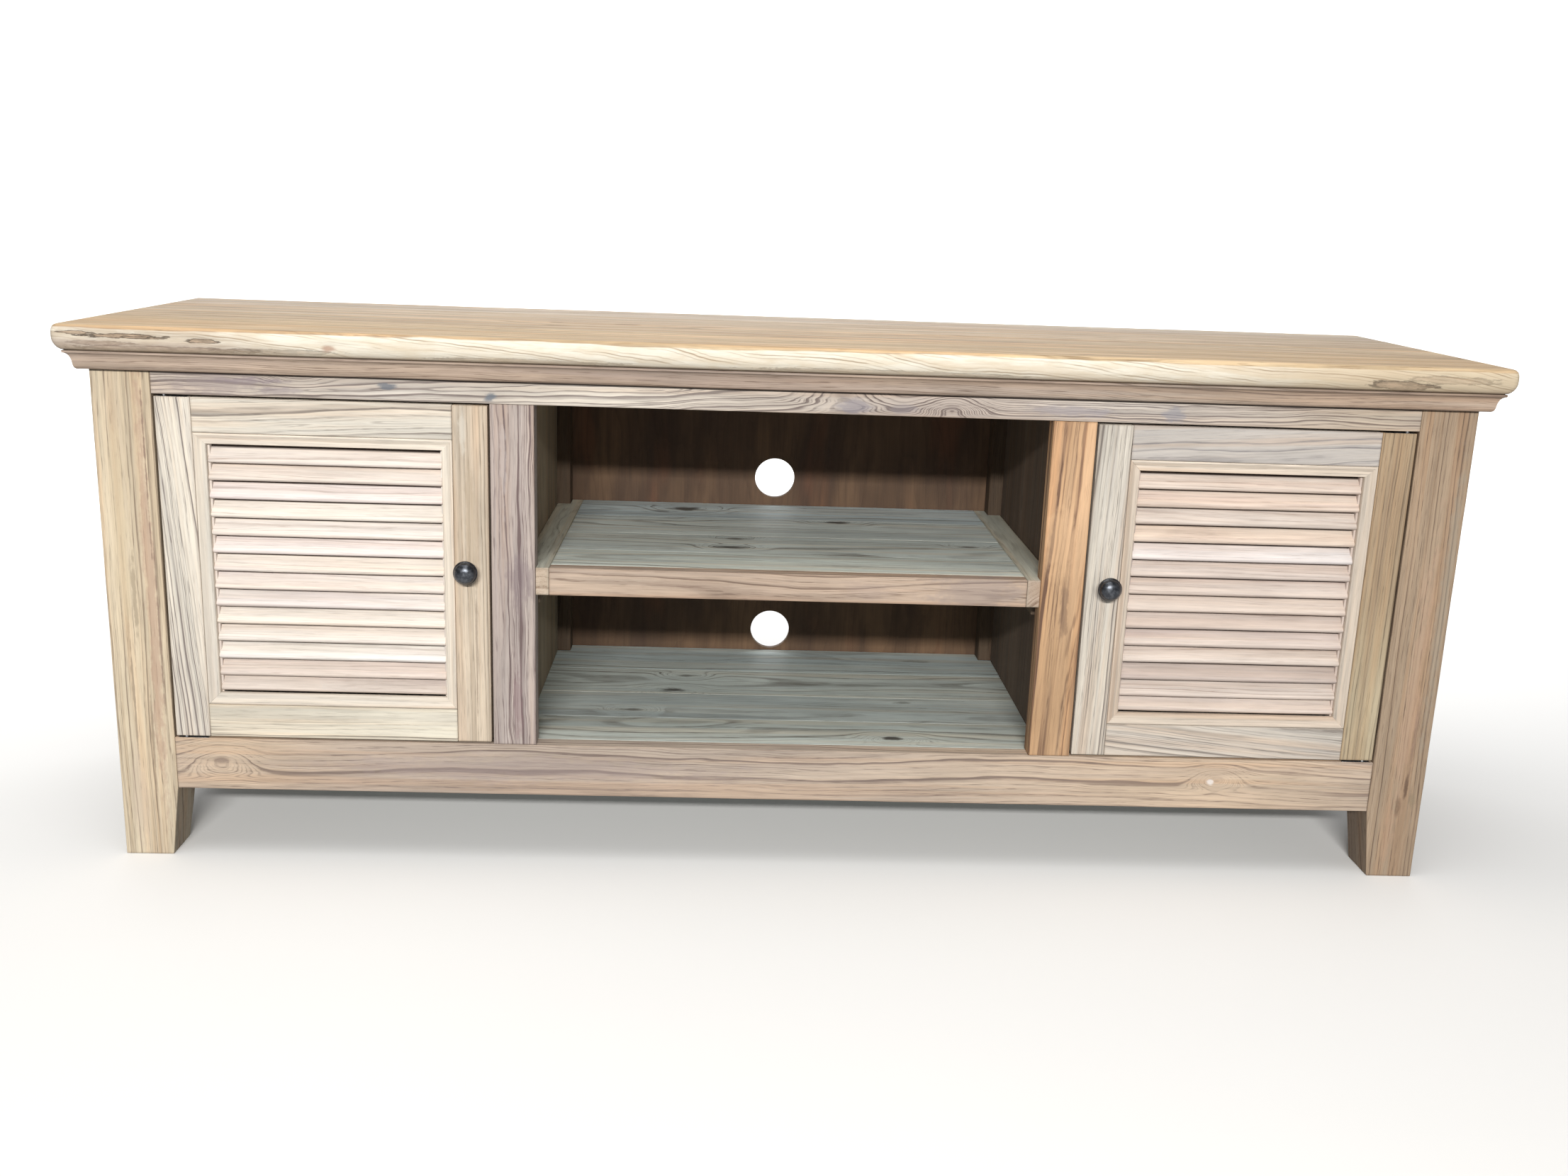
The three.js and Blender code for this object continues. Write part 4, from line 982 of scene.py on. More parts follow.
K1, K2 = (0.085, 0.080, 0.070), (0.17, 0.165, 0.145)
SMEARS = {  # dark smears that run out of the knots, per plank
    "elm_floor_1": [(0.132, -0.0144, 0.013, 0.0065, K1, 0.9), (-0.05, 0.012, 0.09, 0.0018, K2, 0.45), (0.02, -0.018, 0.11, 0.0016, K2, 0.4)],
    "elm_floor_2": [(-0.187, -0.020, 0.016, 0.0045, K2, 0.6), (0.10, 0.010, 0.10, 0.0018, K2, 0.45), (0.16, 0.030, 0.012, 0.005, K2, 0.6)],
    "elm_floor_3": [(-0.124, 0.0255, 0.022, 0.0060, K2, 0.55), (-0.138, -0.0365, 0.024, 0.0085, K1, 0.7), (0.09, 0.0, 0.12, 0.0022, K2, 0.4)],
    "elm_floor_4": [(0.04, -0.01, 0.14, 0.003, K2, 0.4), (0.20, 0.012, 0.020, 0.006, K2, 0.5)],
    "elm_shelf_1": [(-0.10, 0.006, 0.10, 0.0016, K2, 0.4), (0.13, -0.012, 0.10, 0.0016, K2, 0.4)],
    "elm_shelf_2": [(-0.065, 0.0315, 0.026, 0.0070, K2, 0.65), (-0.068, -0.0175, 0.024, 0.0075, K1, 0.75), (0.231, 0.0185, 0.014, 0.006, K2, 0.65),
                    (0.060, 0.030, 0.070, 0.0050, (0.34, 0.37, 0.35), 0.5)],
    "elm_shelf_3": [(0.074, 0.046, 0.020, 0.010, K1, 0.7), (-0.08, 0.0, 0.12, 0.0022, K2, 0.4)],
    "elm_shelf_4": [(-0.131, 0.005, 0.026, 0.013, K1, 0.85), (-0.162, -0.014, 0.018, 0.006, K1, 0.6), (0.10, 0.010, 0.10, 0.003, K2, 0.4)],
}


def wash(name, seed, k=(1, 1, 1), **kw):
    kw.setdefault("spots", SMEARS.get(name, ()))
    c = [mul(x, k) for x in WASH]
    return wood(name, *c, stain_amt=0.55, seed=seed, ring=0.0060, warp=0.05, line_amt=0.5, pore=0.35, bump=0.5,
                rough=0.62, edge_dark=0.3, mottle=0.22, **kw)


# floor: its corners are notched round the legs
flo, fhi = nbox("bottom_board")
fmats = [wash("elm_floor_%d" % (i + 1), 81 + i, k, pith=p, knots=kn) for i, (k, p, kn) in enumerate((
    ((1.06, 1.05, 1.03), (0.02, -0.05), [(0.132, -0.0144, 0.0065, 1.0)]),
    ((0.97, 0.98, 1.0), (-0.03, -0.06), [(-0.187, -0.020, 0.005, 0.6)]),
    ((1.0, 1.0, 1.0), (0.01, -0.04), [(-0.124, 0.0255, 0.006, 0.5), (-0.138, -0.0365, 0.007, 0.75)]),
    ((0.92, 0.95, 0.98), (0.03, -0.06), [])))]
YS = [flo[1], -0.0905, 0.005, 0.108, fhi[1]]
for i in range(4):
    a, b = list(flo), list(fhi)
    a[1], b[1] = YS[i] + (0.00025 if i else 0), YS[i + 1] - (0.00025 if i < 3 else 0)
    ob = rbox("floor_plank_%d" % (i + 1), a, b, r=0.0010, seg=0.04, wear=0.6, seed=9.0 + i)
    tools = []
    if i == 0:
        for sx in (-1, 1):
            p, q = sorted((sx * 0.7067, sx * 0.760))
            tools.append(tool_box((p, -0.19, 0.12), (q, -0.1317, 0.16)))
    if i == 3:
        for sx in (-1, 1):
            p, q = sorted((sx * 0.7067, sx * 0.760))
            tools.append(tool_box((p, 0.1567, 0.12), (q, 0.23, 0.16)))
    if tools:
        cut(ob, *tools)
    tidy(ob)
    smooth(ob, 50)
    c = [(p + q) / 2 for p, q in zip(a, b)]
    grain(ob, c, "x", "y", "z", lo=a, hi=b, edge_r=0.001)
    finish_piece(ob, fmats[i], "cabinet", "shelf", *(["bottom_board"] if i == 0 else []))

# shelf: four planks behind a lipping-like front plank, with breadboard ends
slo, shi = nbox("shelf_board")
smats = [wash("elm_shelf_%d" % (i + 1), 91 + i, k, pith=p, knots=kn) for i, (k, p, kn) in enumerate((
    ((1.20, 1.20, 1.17), (0.01, -0.05), []),
    ((1.08, 1.10, 1.11), (-0.03, -0.05), [(-0.065, 0.0315, 0.007, 0.7), (-0.068, -0.0175, 0.006, 0.8), (0.231, 0.0185, 0.005, 0.6)]),
    ((1.14, 1.15, 1.16), (0.02, -0.06), [(0.074, 0.046, 0.007, 0.8)]),
    ((1.02, 1.11, 1.22), (0.0, -0.05), [(-0.131, 0.005, 0.008, 1.0), (-0.118, 0.014, 0.005, 0.8)])))]
front_plank = wood("elm_shelf_front", (0.53, 0.425, 0.335), (0.45, 0.345, 0.27), (0.23, 0.165, 0.125), (0.36, 0.29, 0.25), 0.5, seed=97, ring=0.0052,
                   pith=(0.0, -0.04), warp=0.05, line_amt=0.85, bold=1.2, pore=0.5, mottle=0.24,
                   spots=[(0.215, 0.0, 0.060, 0.030, (0.30, 0.245, 0.23), 0.45), (0.090, 0.0, 0.03, 0.012, (0.34, 0.26, 0.23), 0.3), (-0.12, 0.0, 0.05, 0.006, (0.36, 0.26, 0.20), 0.35)])
YS = [slo[1], slo[1] + 0.0185, -0.093, 0.006, 0.113, shi[1]]
for i in range(5):
    a, b = list(slo), list(shi)
    a[1], b[1] = YS[i] + (0.00012 if i else 0), YS[i + 1] - (0.00012 if i < 4 else 0)
    ob = rbox("shelf_plank_%d" % (i + 1), a, b, r=0.0012, seg=0.035, wear=0.6, seed=12.0 + i)
    tidy(ob)
    smooth(ob, 50)
    c = [(p + q) / 2 for p, q in zip(a, b)]
    if i == 0:
        grain(ob, c, "x", "z", "y", lo=a, hi=b, edge_r=0.0012)
        finish_piece(ob, front_plank, "cabinet", "shelf", "shelf_board")
    else:
        grain(ob, c, "x", "y", "z", lo=a, hi=b, edge_r=0.0012)
        finish_piece(ob, smats[i - 1], "cabinet", "shelf")
for tag, sx in (("left", -1), ("right", 1)):
    lo, hi = nbox("shelf_end_" + tag)
    ob = rbox("wood_shelf_end_" + tag, lo, hi, r=0.0012, seg=0.03, wear=0.6, seed=14 + sx)
    p, q = sorted((sx * 0.2897, sx * 0.315))
    cut(ob, tool_box((p, -0.20, 0.32), (q, -0.1717, 0.366)), tool_box((p, 0.1837, 0.32), (q, 0.22, 0.366)))
    tidy(ob)
    smooth(ob, 50)
    c = [(a + b) / 2 for a, b in zip(lo, hi)]
    grain(ob, c, "y", "x", "z", lo=lo, hi=hi, edge_r=0.0012)
    m = wash("elm_shelf_end_" + tag, 99 + sx, ((1.02, 0.95, 0.86) if sx < 0 else (0.98, 0.92, 0.84)), pith=(0.01, -0.04),
             front=(lo[1] - c[1] + 0.0012, (0.60, 0.50, 0.40) if sx < 0 else (0.50, 0.40, 0.32)))
    finish_piece(ob, m, "cabinet", "shelf", "shelf_end_" + tag)

# ------------------------------------------------------------------ inside
INNER = ((0.215, 0.165, 0.120), (0.165, 0.125, 0.090), (0.07, 0.048, 0.034), (0.12, 0.095, 0.075))


def inner(name, seed, k=(1, 1, 1), **kw):
    c = [mul(x, k) for x in INNER]
    return wood(name, *c, stain_amt=0.5, seed=seed, ring=0.0055, warp=0.05, line_amt=0.5, pore=0.35, rough=0.78, **kw)


for tag, sx in (("left", -1), ("right", 1)):
    board("partition_" + tag, inner("elm_partition_" + tag, 111 + sx, (1.55, 1.6, 1.55) if sx < 0 else (0.86, 0.86, 0.92), pith=(0.03, -0.06)), "interior",
          u="z", v="y", w="x", seed=15 + sx, seg=0.05)
    board("back_post_" + tag, inner("elm_back_post_" + tag, 114 + sx, (0.55, 0.50, 0.46), pith=(0.01, -0.04)), "interior", u="z", v="x", w="y", seed=17 + sx, seg=0.05)
    board("shelf_cleat_" + tag, inner("elm_cleat_" + tag, 117 + sx, pith=(0.01, -0.03)), "interior", u="y", v="z", w="x", seed=19 + sx, seg=0.05)
board("back_top_rail", inner("elm_back_top_rail", 120, pith=(0.01, -0.04)), "interior", seed=21, seg=0.06)
board("back_bottom_rail", inner("elm_back_bottom_rail", 121, (1.4, 1.4, 1.4), pith=(0.01, -0.04)), "interior", seed=22, seg=0.06)


def ply(name):
    """Thin sliced veneer on plywood: long vertical figure, dark red brown, knots."""
    mat = bpy.data.materials.new(name)
    T = Tree(mat)
    P = T.attr("gr")
    S = T.vec("ADD", P, (12.0, 3.0, 0.0))
    w1 = T.noise(S, (1.6, 7.0, 7.0), 3.0, 0.55)
    u, v, w = T.split(S)
    t = T.math("MULTIPLY_ADD", w1, 14.0, T.math("MULTIPLY", v, 60.0))
    fr = T.math("FRACT", t)
    band = T.math("POWER", T.math("SUBTRACT", 1.0, T.smooth(fr, 0.0, 0.6)), 1.6)
    fn = T.noise(S, (14.0, 700.0, 700.0), 3.0, 0.6)
    tn = T.noise(S, (2.5, 9.0, 9.0), 3.0, 0.6, add=(4, 4, 4))
    bn = T.noise(S, (2.2, 11.0, 11.0), 4.0, 0.65, add=(1, 8, 2))
    rn = T.noise(S, (3.0, 10.0, 10.0), 3.0, 0.6, add=(6, 3, 2))
    col = T.mix(T.smooth(tn, 0.35, 0.65), (0.170, 0.100, 0.056), (0.082, 0.048, 0.029))
    col = T.mix(T.math("MULTIPLY", T.smooth(bn, 0.46, 0.62), 0.65), col, (0.055, 0.032, 0.022))
    col = T.mix(T.math("MULTIPLY", T.smooth(rn, 0.54, 0.68), 0.40), col, (0.215, 0.085, 0.042))
    col = T.mix(T.math("MULTIPLY", band, 0.20), col, (0.045, 0.024, 0.015))
    f = T.math("MULTIPLY_ADD", T.math("SUBTRACT", fn, 0.5), 0.5, 1.0)
    col = T.mix(1.0, col, T.join(f, f, f), "MULTIPLY")
    b = T.new("ShaderNodeBump")
    b.inputs["Strength"].default_value = 0.3
    b.inputs["Distance"].default_value = 0.0004
    T.put(b.inputs["Height"], T.math("MULTIPLY_ADD", fn, 0.5, T.math("MULTIPLY", band, -0.3)))
    s = T.new("ShaderNodeBsdfPrincipled")
    T.put(s.inputs["Base Color"], col)
    T.put(s.inputs["Roughness"], T.math("MULTIPLY_ADD", T.math("SUBTRACT", fn, 0.5), 0.2, 0.66))
    s.inputs["Specular IOR Level"].default_value = 0.3
    T.put(s.inputs["Normal"], b.outputs[0])
    out = T.new("ShaderNodeOutputMaterial")
    T.put(out.inputs["Surface"], s.outputs[0])
    return mat


lo, hi = nbox("back_panel")
ob = rbox("back_ply", lo, hi, r=0.0008, seg=0.05, wear=0.3, seed=23)
cut(ob, tool_cyl((-0.008, 0.218, 0.177), "y", 0.0275, 0.03, 72), tool_cyl((-0.008, 0.218, 0.3975), "y", 0.0275, 0.03, 72))
tidy(ob)
smooth(ob, 50)
grain(ob, (0, 0.218, 0.34), "z", "x", "y", lo=lo, hi=hi)
finish_piece(ob, ply("ply_back"), "cabinet", "back", "back_panel")
back_lo, back_hi = lo, hi

# ------------------------------------------------------------------ doors
BEADP = [  # in from the frame, back from the face: a rounded outer edge, a slope, then a flat band
    (0.0000, 0.0012), (0.0003, 0.0004), (0.0009, 0.0000), (0.0016, 0.0000), (0.0023, 0.0003), (0.0030, 0.0008), (0.0048, 0.0022),
    (0.0060, 0.0030), (0.0066, 0.0033), (0.0072, 0.0034), (0.0114, 0.0036), (0.0122, 0.0040), (0.0126, 0.0048), (0.0127, 0.0058), (0.0127, 0.0100), (0.0000, 0.0100),
]
SLAT_W, SLAT_T, TILT = 0.025, 0.0056, math.radians(36)
DX0, DX1, DZ0, DZ1, FR = 0.3415, 0.7045, 0.149, 0.5425, 0.039
XI, XO, ZI, ZO = DX0 + FR, DX1 - FR, DZ0 + FR, DZ1 - FR
BEADW = 0.013

SLAT_TONES = {
    -1: [(0.86, 0.80, 0.745), (0.87, 0.82, 0.75), (0.89, 0.88, 0.83), (0.81, 0.75, 0.69), (0.75, 0.67, 0.60), (0.70, 0.625, 0.565), (0.86, 0.79, 0.76)],
    1: [(0.70, 0.62, 0.56), (0.71, 0.635, 0.58), (0.60, 0.53, 0.49), (0.66, 0.58, 0.53), (0.79, 0.745, 0.73), (0.78, 0.68, 0.59), (0.74, 0.65, 0.58)],
}
slat_mats = {
    sx: [wood("elm_%s_slat_%d" % (t, i + 1), mul(a, 0.965), mul(a, (0.92, 0.885, 0.865)), mul(a, (0.50, 0.42, 0.38)), mul(a, (0.80, 0.73, 0.77)), 0.55,
              seed=131 + i + 10 * sx, ring=0.0065, pith=((0.02, -0.03), (-0.05, -0.02), (0.0, -0.05))[i % 3], warp=0.03, line_amt=0.36, pore=0.30,
              bump=0.35, edge_dark=0.10, mottle=0.16, hue=0.45, sharp=0.8, lift=1.0)
         for i, a in enumerate(SLAT_TONES[sx])]
    for t, sx in (("left", -1), ("right", 1))}
# lowest slat first
SLAT_PICK = {-1: [5, 4, 2, 3, 1, 0, 0, 1, 6, 0, 1, 6, 3, 0], 1: [0, 1, 2, 0, 1, 3, 6, 1, 3, 4, 5, 0, 5, 6]}

def back_screws():
    y = back_hi[1] + 0.00005
    x0, x1, z0, z1 = back_lo[0] + 0.014, back_hi[0] - 0.014, back_lo[2] + 0.016, back_hi[2] - 0.014
    spots = [(x0 + (x1 - x0) * i / 7, z) for i in range(8) for z in (z0, z1)]
    spots += [(x, z0 + (z1 - z0) * f) for x in (x0, x1) for f in (0.34, 0.66)]
    rn = random.Random(77)
    prof = [(0, 0), (0.0036, 0), (0.0040, 0.0002), (0.0039, 0.0006), (0.0032, 0.0011), (0.0020, 0.0014), (0, 0.0015)]
    one = lathe("back_screw_01", prof, (0, 0, 0), "y", 1, 28)
    cut(one, tool_box((-0.0022, 0.0009, -0.00035), (0.0022, 0.0030, 0.00035)), tool_box((-0.00035, 0.0009, -0.0022), (0.00035, 0.0030, 0.0022)))
    tidy(one)
    smooth(one, 35)
    base = coords(one)
    for n, (x, z) in enumerate(spots):
        h = one
        if n:
            h = bpy.data.objects.new("back_screw_%02d" % (n + 1), one.data.copy())
            coll.objects.link(h)
        a = rn.uniform(0, math.pi)
        c, d = math.cos(a), math.sin(a)
        co = np.stack([x + rn.uniform(-0.002, 0.002) + base[:, 0] * c - base[:, 2] * d, y + base[:, 1],
                       z + rn.uniform(-0.0015, 0.0015) + base[:, 0] * d + base[:, 2] * c], 1)
        h.data.vertices.foreach_set("co", co.ravel())
        h.data.update()
        finish_piece(h, zinc, "cabinet", "screw")


pewter = metal("pewter_knob", (0.055, 0.060, 0.070), rough=0.34, metallic=0.92, wear=(0.16, 0.17, 0.19), wear_amt=0.5, scale=260.0, bump=0.25)
zinc = metal("zinc_plate", (0.50, 0.50, 0.50), rough=0.38, metallic=0.95, scale=180.0, brushed=(60.0, 1400.0, 1400.0))
steel = metal("steel_hinge", (0.40, 0.405, 0.42), rough=0.36, metallic=0.95, scale=120.0, brushed=(40.0, 1600.0, 1600.0))

back_screws()

KNOB = [(0, 0), (0.0078, 0), (0.0086, 0.0003), (0.0088, 0.0009), (0.0086, 0.0018), (0.0076, 0.0025), (0.0063, 0.0031), (0.0054, 0.0039), (0.0049, 0.0051),
        (0.0047, 0.0065), (0.0048, 0.0080), (0.0053, 0.0092), (0.0066, 0.0101), (0.0087, 0.0108), (0.0110, 0.0116), (0.0126, 0.0124), (0.0134, 0.0134),
        (0.0138, 0.0147), (0.0137, 0.0158), (0.0131, 0.0168), (0.0124, 0.0175), (0.0121, 0.0181), (0.0120, 0.0187), (0.0117, 0.0198), (0.0109, 0.0212),
        (0.0096, 0.0226), (0.0078, 0.0238), (0.0057, 0.0247), (0.0034, 0.0253), (0.0014, 0.0255), (0, 0.0255)]

DOORC = {
    -1: dict(
        hinge=dict(light=(0.66, 0.60, 0.51), mid=(0.575, 0.505, 0.425), line=(0.22, 0.185, 0.165), stain=(0.50, 0.44, 0.40), stain_amt=0.4, seed=141,
                   ring=0.0056, pith=(0.028, -0.030), warp=0.042, line_amt=1.0, bold=0.80, pore=0.5, slope=-0.07),
        latch=dict(light=(0.60, 0.50, 0.375), mid=(0.52, 0.415, 0.30), line=(0.28, 0.215, 0.15), stain=(0.45, 0.38, 0.30), stain_amt=0.5, seed=142,
                   ring=0.0042, pith=(0.16, -0.06), warp=0.02, line_amt=0.55, pore=0.45, mottle=0.22, streak=0.55, streak_col=(0.38, 0.29, 0.20),
                   spots=[(-0.10, 0.004, 0.09, 0.0012, (0.27, 0.20, 0.15), 0.6), (0.06, 0.0, 0.08, 0.008, (0.42, 0.33, 0.23), 0.4), (0.17, -0.008, 0.03, 0.005, (0.70, 0.66, 0.58), 0.5)]),
        top=dict(light=(0.64, 0.56, 0.46), mid=(0.57, 0.49, 0.40), line=(0.20, 0.16, 0.13), stain=(0.50, 0.44, 0.38), stain_amt=0.4, seed=143,
                 ring=0.0072, pith=(-0.006, -0.010), warp=0.045, fine_warp=0.006, line_amt=1.0, bold=0.62, pore=0.25, sharp=1.15),
        bot=dict(light=(0.67, 0.60, 0.485), mid=(0.60, 0.52, 0.42), line=(0.23, 0.19, 0.15), stain=(0.52, 0.46, 0.39), stain_amt=0.35, seed=144,
                 ring=0.0068, pith=(0.004, -0.016), warp=0.030, line_amt=1.0, bold=0.85, pore=0.28),
        bead=dict(light=(0.76, 0.70, 0.61), mid=(0.70, 0.625, 0.53))),
    1: dict(
        hinge=dict(light=(0.45, 0.355, 0.235), mid=(0.385, 0.295, 0.19), line=(0.19, 0.14, 0.09), stain=(0.46, 0.40, 0.25), stain_amt=0.45, seed=151,
                   ring=0.0046, pith=(-0.18, -0.05), warp=0.02, line_amt=0.55, pore=0.45, streak=0.45, streak_col=(0.27, 0.20, 0.14), bold=1.15,
                   zones=[(-0.13, 0.10, (1.12, 1.22, 1.30)), (0.10, 0.14, (0.95, 0.92, 0.94))]),
        latch=dict(light=(0.60, 0.545, 0.465), mid=(0.52, 0.465, 0.39), line=(0.21, 0.18, 0.155), stain=(0.44, 0.40, 0.37), stain_amt=0.45, seed=152,
                   ring=0.0054, pith=(-0.035, -0.030), warp=0.026, line_amt=1.0, bold=0.95, pore=0.45, slope=0.03, streak=0.45, streak_col=(0.33, 0.28, 0.24)),
        top=dict(light=(0.535, 0.485, 0.435), mid=(0.46, 0.42, 0.38), line=(0.26, 0.235, 0.225), stain=(0.40, 0.38, 0.385), stain_amt=0.65, seed=153,
                 ring=0.0050, pith=(-0.01, -0.022), warp=0.030, fine_warp=0.008, line_amt=0.55, pore=0.3, slope=0.05),
        bot=dict(light=(0.565, 0.49, 0.41), mid=(0.50, 0.425, 0.355), line=(0.23, 0.19, 0.16), stain=(0.43, 0.38, 0.34), stain_amt=0.5, seed=154,
                 ring=0.0062, pith=(0.030, -0.030), warp=0.034, line_amt=1.0, bold=1.15, pore=0.35, slope=-0.09),
        bead=dict(light=(0.67, 0.585, 0.49), mid=(0.61, 0.52, 0.43))),
}

for tag, sx in (("left", -1), ("right", 1)):
    body = tag + "_door"
    C = DOORC[sx]
    hs = wood("elm_%s_hinge_stile" % body, **C["hinge"])
    lsm = wood("elm_%s_latch_stile" % body, **C["latch"])
    trm = wood("elm_%s_top_rail" % body, **C["top"])
    brm = wood("elm_%s_bottom_rail" % body, **C["bot"])
    pins = [tool_cyl((sx * PX, PY, 0.1505), "z", 0.0028, 0.006, 32), tool_cyl((sx * PX, PY, 0.541), "z", 0.0028, 0.006, 32)]
    board("door_%s_hinge_stile" % tag, hs, "door_frame", body, "z", "x", "y", r=0.0013, seed=24 + sx,
          tools=[pocket(sx, 0.145, 0.1513), pocket(sx, 0.5402, 0.546), *pins])
    board("door_%s_latch_stile" % tag, lsm, "door_frame", body, "z", "x", "y", r=0.0013, seed=26 + sx,
          tools=[tool_cyl((sx * 0.366, -0.186, 0.3555), "y", 0.0024, 0.04, 32)])
    board("door_%s_top_rail" % tag, trm, "door_frame", body, r=0.0011, seed=28 + sx)
    board("door_%s_bottom_rail" % tag, brm, "door_frame", body, r=0.0011, seed=30 + sx)

    # mitred inner moulding, four strips
    xa, xb = sorted((sx * (XI + G), sx * (XO - G)))
    za, zb = ZI + G, ZO - G
    g = 0.00008
    strips = (
        ("bottom", lambda w: xa + w + g, lambda w: xb - w - g, lambda w, d, s: (s, FY + d, za + w), 26),
        ("top", lambda w: xa + w + g, lambda w: xb - w - g, lambda w, d, s: (s, FY + d, zb - w), 26),
        ("inner" if sx > 0 else "outer", lambda w: za + w + g, lambda w: zb - w - g, lambda w, d, s: (xa + w, FY + d, s), 28),
        ("outer" if sx > 0 else "inner", lambda w: za + w + g, lambda w: zb - w - g, lambda w, d, s: (xb - w, FY + d, s), 28),
    )
    for n_, (where, s0, s1, place, cnt) in enumerate(strips):
        rings = []
        for a in range(cnt + 1):
            f = a / cnt
            rings.append([place(w + (0.0002 * fbm((s0(w) * (1 - f) + s1(w) * f, n_, sx), 30.0, 2.0) if 0.001 < w < 0.012 else 0), d, s0(w) * (1 - f) + s1(w) * f) for w, d in BEADP])
        ob = loft("%s_bead_%s" % (body, where), rings, smooth_angle=35)
        up = where in ("inner", "outer")
        grain(ob, ((xa + xb) / 2, FY, (za + zb) / 2), "z" if up else "x", "x" if up else "z", "y", off=(0.7 * n_, 0, 0))
        # painted light: the top strip is given a 1.22 times lighter colour, for light its downward-facing slope does
        # not catch
        k = (1.0 + 0.03 * (n_ - 1.5)) * (1.22 if where == "top" else 1.0)
        m = wood("elm_%s_bead_%s" % (body, where), mul(C["bead"]["light"], k), mul(C["bead"]["mid"], k), mul(C["bead"]["mid"], 0.5), seed=161 + n_ * 2 + sx, ring=0.006,
                 pith=(0.2, -0.1), line_amt=0.30, pore=0.3, edge_dark=0.0, mottle=0.08, lift=1.02)
        finish_piece(ob, m, body, "bead", *(["door_%s_bead" % tag] if n_ == 0 else []))

    # louvres: two side strips and the slats
    field0, field1 = ZI + BEADW, ZO - BEADW
    pitch = (field1 - field0) / SLATS
    for q, (a, b) in enumerate(((XI + G, XI + G + BEADW + 0.002), (XO - G - BEADW - 0.002, XO - G))):
        a, b = sorted((sx * a, sx * b))
        lo, hi = (a, FY + 0.0103, ZI + G), (b, FY + 0.0215, ZO - G)
        ob = rbox("%s_louvre_side_%d" % (body, q + 1), lo, hi, r=0.0008, seg=0.03, seed=33 + q)
        tidy(ob)
        smooth(ob, 50)
        grain(ob, ((a + b) / 2, FY, 0.34), "z", "x", "y", lo=lo, hi=hi)
        finish_piece(ob, slat_mats[sx][q + 2], body, "louvre", *(["door_%s_louvre" % tag] if q == 0 else []))
    x0, x1 = XI + BEADW + 0.0001, XO - BEADW - 0.0001
    for i in range(SLATS):
        w = SLAT_W
        cz = field0 + pitch * (i + 0.5)
        if i == 0:
            w, cz = SLAT_W - 0.0026, cz + 0.0012
        if i == SLATS - 1:
            w, cz = SLAT_W - 0.0026, cz - 0.0012
        rn = random.Random(500 + 40 * sx + i)
        tilt = TILT + math.radians(rn.uniform(-1.0, 1.0))
        cz += rn.uniform(-0.0003, 0.0003)
        cy = FY + 0.0055 + 0.0090
        rr = SLAT_T / 2 - 0.0002
        # rounded section
        sec = []
        for (cx_, cy_, a0) in ((SLAT_T / 2 - rr, w / 2 - rr, 0), (-(SLAT_T / 2 - rr), w / 2 - rr, 90), (-(SLAT_T / 2 - rr), -(w / 2 - rr), 180), (SLAT_T / 2 - rr, -(w / 2 - rr), 270)):
            for k_ in range(6):
                an = math.radians(a0 + 90 * k_ / 5)
                sec.append((cx_ + rr * math.cos(an), cy_ + rr * math.sin(an)))
        # support points on the two broad faces
        sec2 = []
        for k_ in range(len(sec)):
            sec2.append(sec[k_])
            p, q_ = sec[k_], sec[(k_ + 1) % len(sec)]
            if abs(p[1] - q_[1]) > 0.01:
                for f in ((0.10, 0.20, 0.27, 0.5, 0.88) if p[1] > q_[1] else (0.12, 0.5, 0.73, 0.80, 0.90)):
                    sec2.append((p[0] + (q_[0] - p[0]) * f, p[1] + (q_[1] - p[1]) * f))
        rings, stations = [], [(0.0, 0.0010), (0.0005, 0.0004), (0.0012, 0.0)]
        L = x1 - x0
        along = stations + [(L * f, 0.0) for f in np.linspace(0.06, 0.94, 12)] + [(L - s_, k_) for s_, k_ in reversed(stations)]
        bow = rn.uniform(-0.0004, 0.0004)
        for s_, ins in along:
            ring = []
            f = s_ / L
            for a, b in sec2:
                kx = 1 - ins / (SLAT_T / 2)
                kb = 1 - ins / (w / 2)
                t_, h_ = a * kx, b * kb
                # the top leans back
                y = cy + t_ * math.cos(tilt) + h_ * math.sin(tilt)
                z = cz - t_ * math.sin(tilt) + h_ * math.cos(tilt) + bow * 4 * f * (1 - f)
                ring.append((sx * (x0 + s_), y, z))
            rings.append(ring)
        ob = loft("%s_slat_%02d" % (body, i + 1), rings, smooth_angle=60)
        co = coords(ob)
        me = ob.data
        dy, dz = co[:, 1] - cy, co[:, 2] - cz
        uu = co[:, 0] * 1.0 + i * 1.37 + (11.0 if sx > 0 else 0)
        vv = dy * math.sin(tilt) + dz * math.cos(tilt)
        ww = -(dy * math.cos(tilt) - dz * math.sin(tilt))
        at = me.attributes.new("gr", "FLOAT_VECTOR", "POINT")
        at.data.foreach_set("vector", np.stack([uu, vv + 0.05 * (i % 5), ww], 1).astype(np.float32).ravel())
        ed = me.attributes.new("edge", "FLOAT", "POINT")
        # painted shadow: the top of each slat's face, shaded by the slat above, is darkened
        gm = me.attributes.new("shade_mask", "FLOAT", "POINT")
        gm.data.foreach_set("value", np.clip((vv - 0.0058) / 0.0013, 0, 1).astype(np.float32))
        e = np.clip((np.abs(vv) - (w / 2 - 0.0035)) / 0.003, 0, 1)
        ed.data.foreach_set("value", e.astype(np.float32))
        finish_piece(ob, slat_mats[sx][SLAT_PICK[sx][i]], body, "louvre")

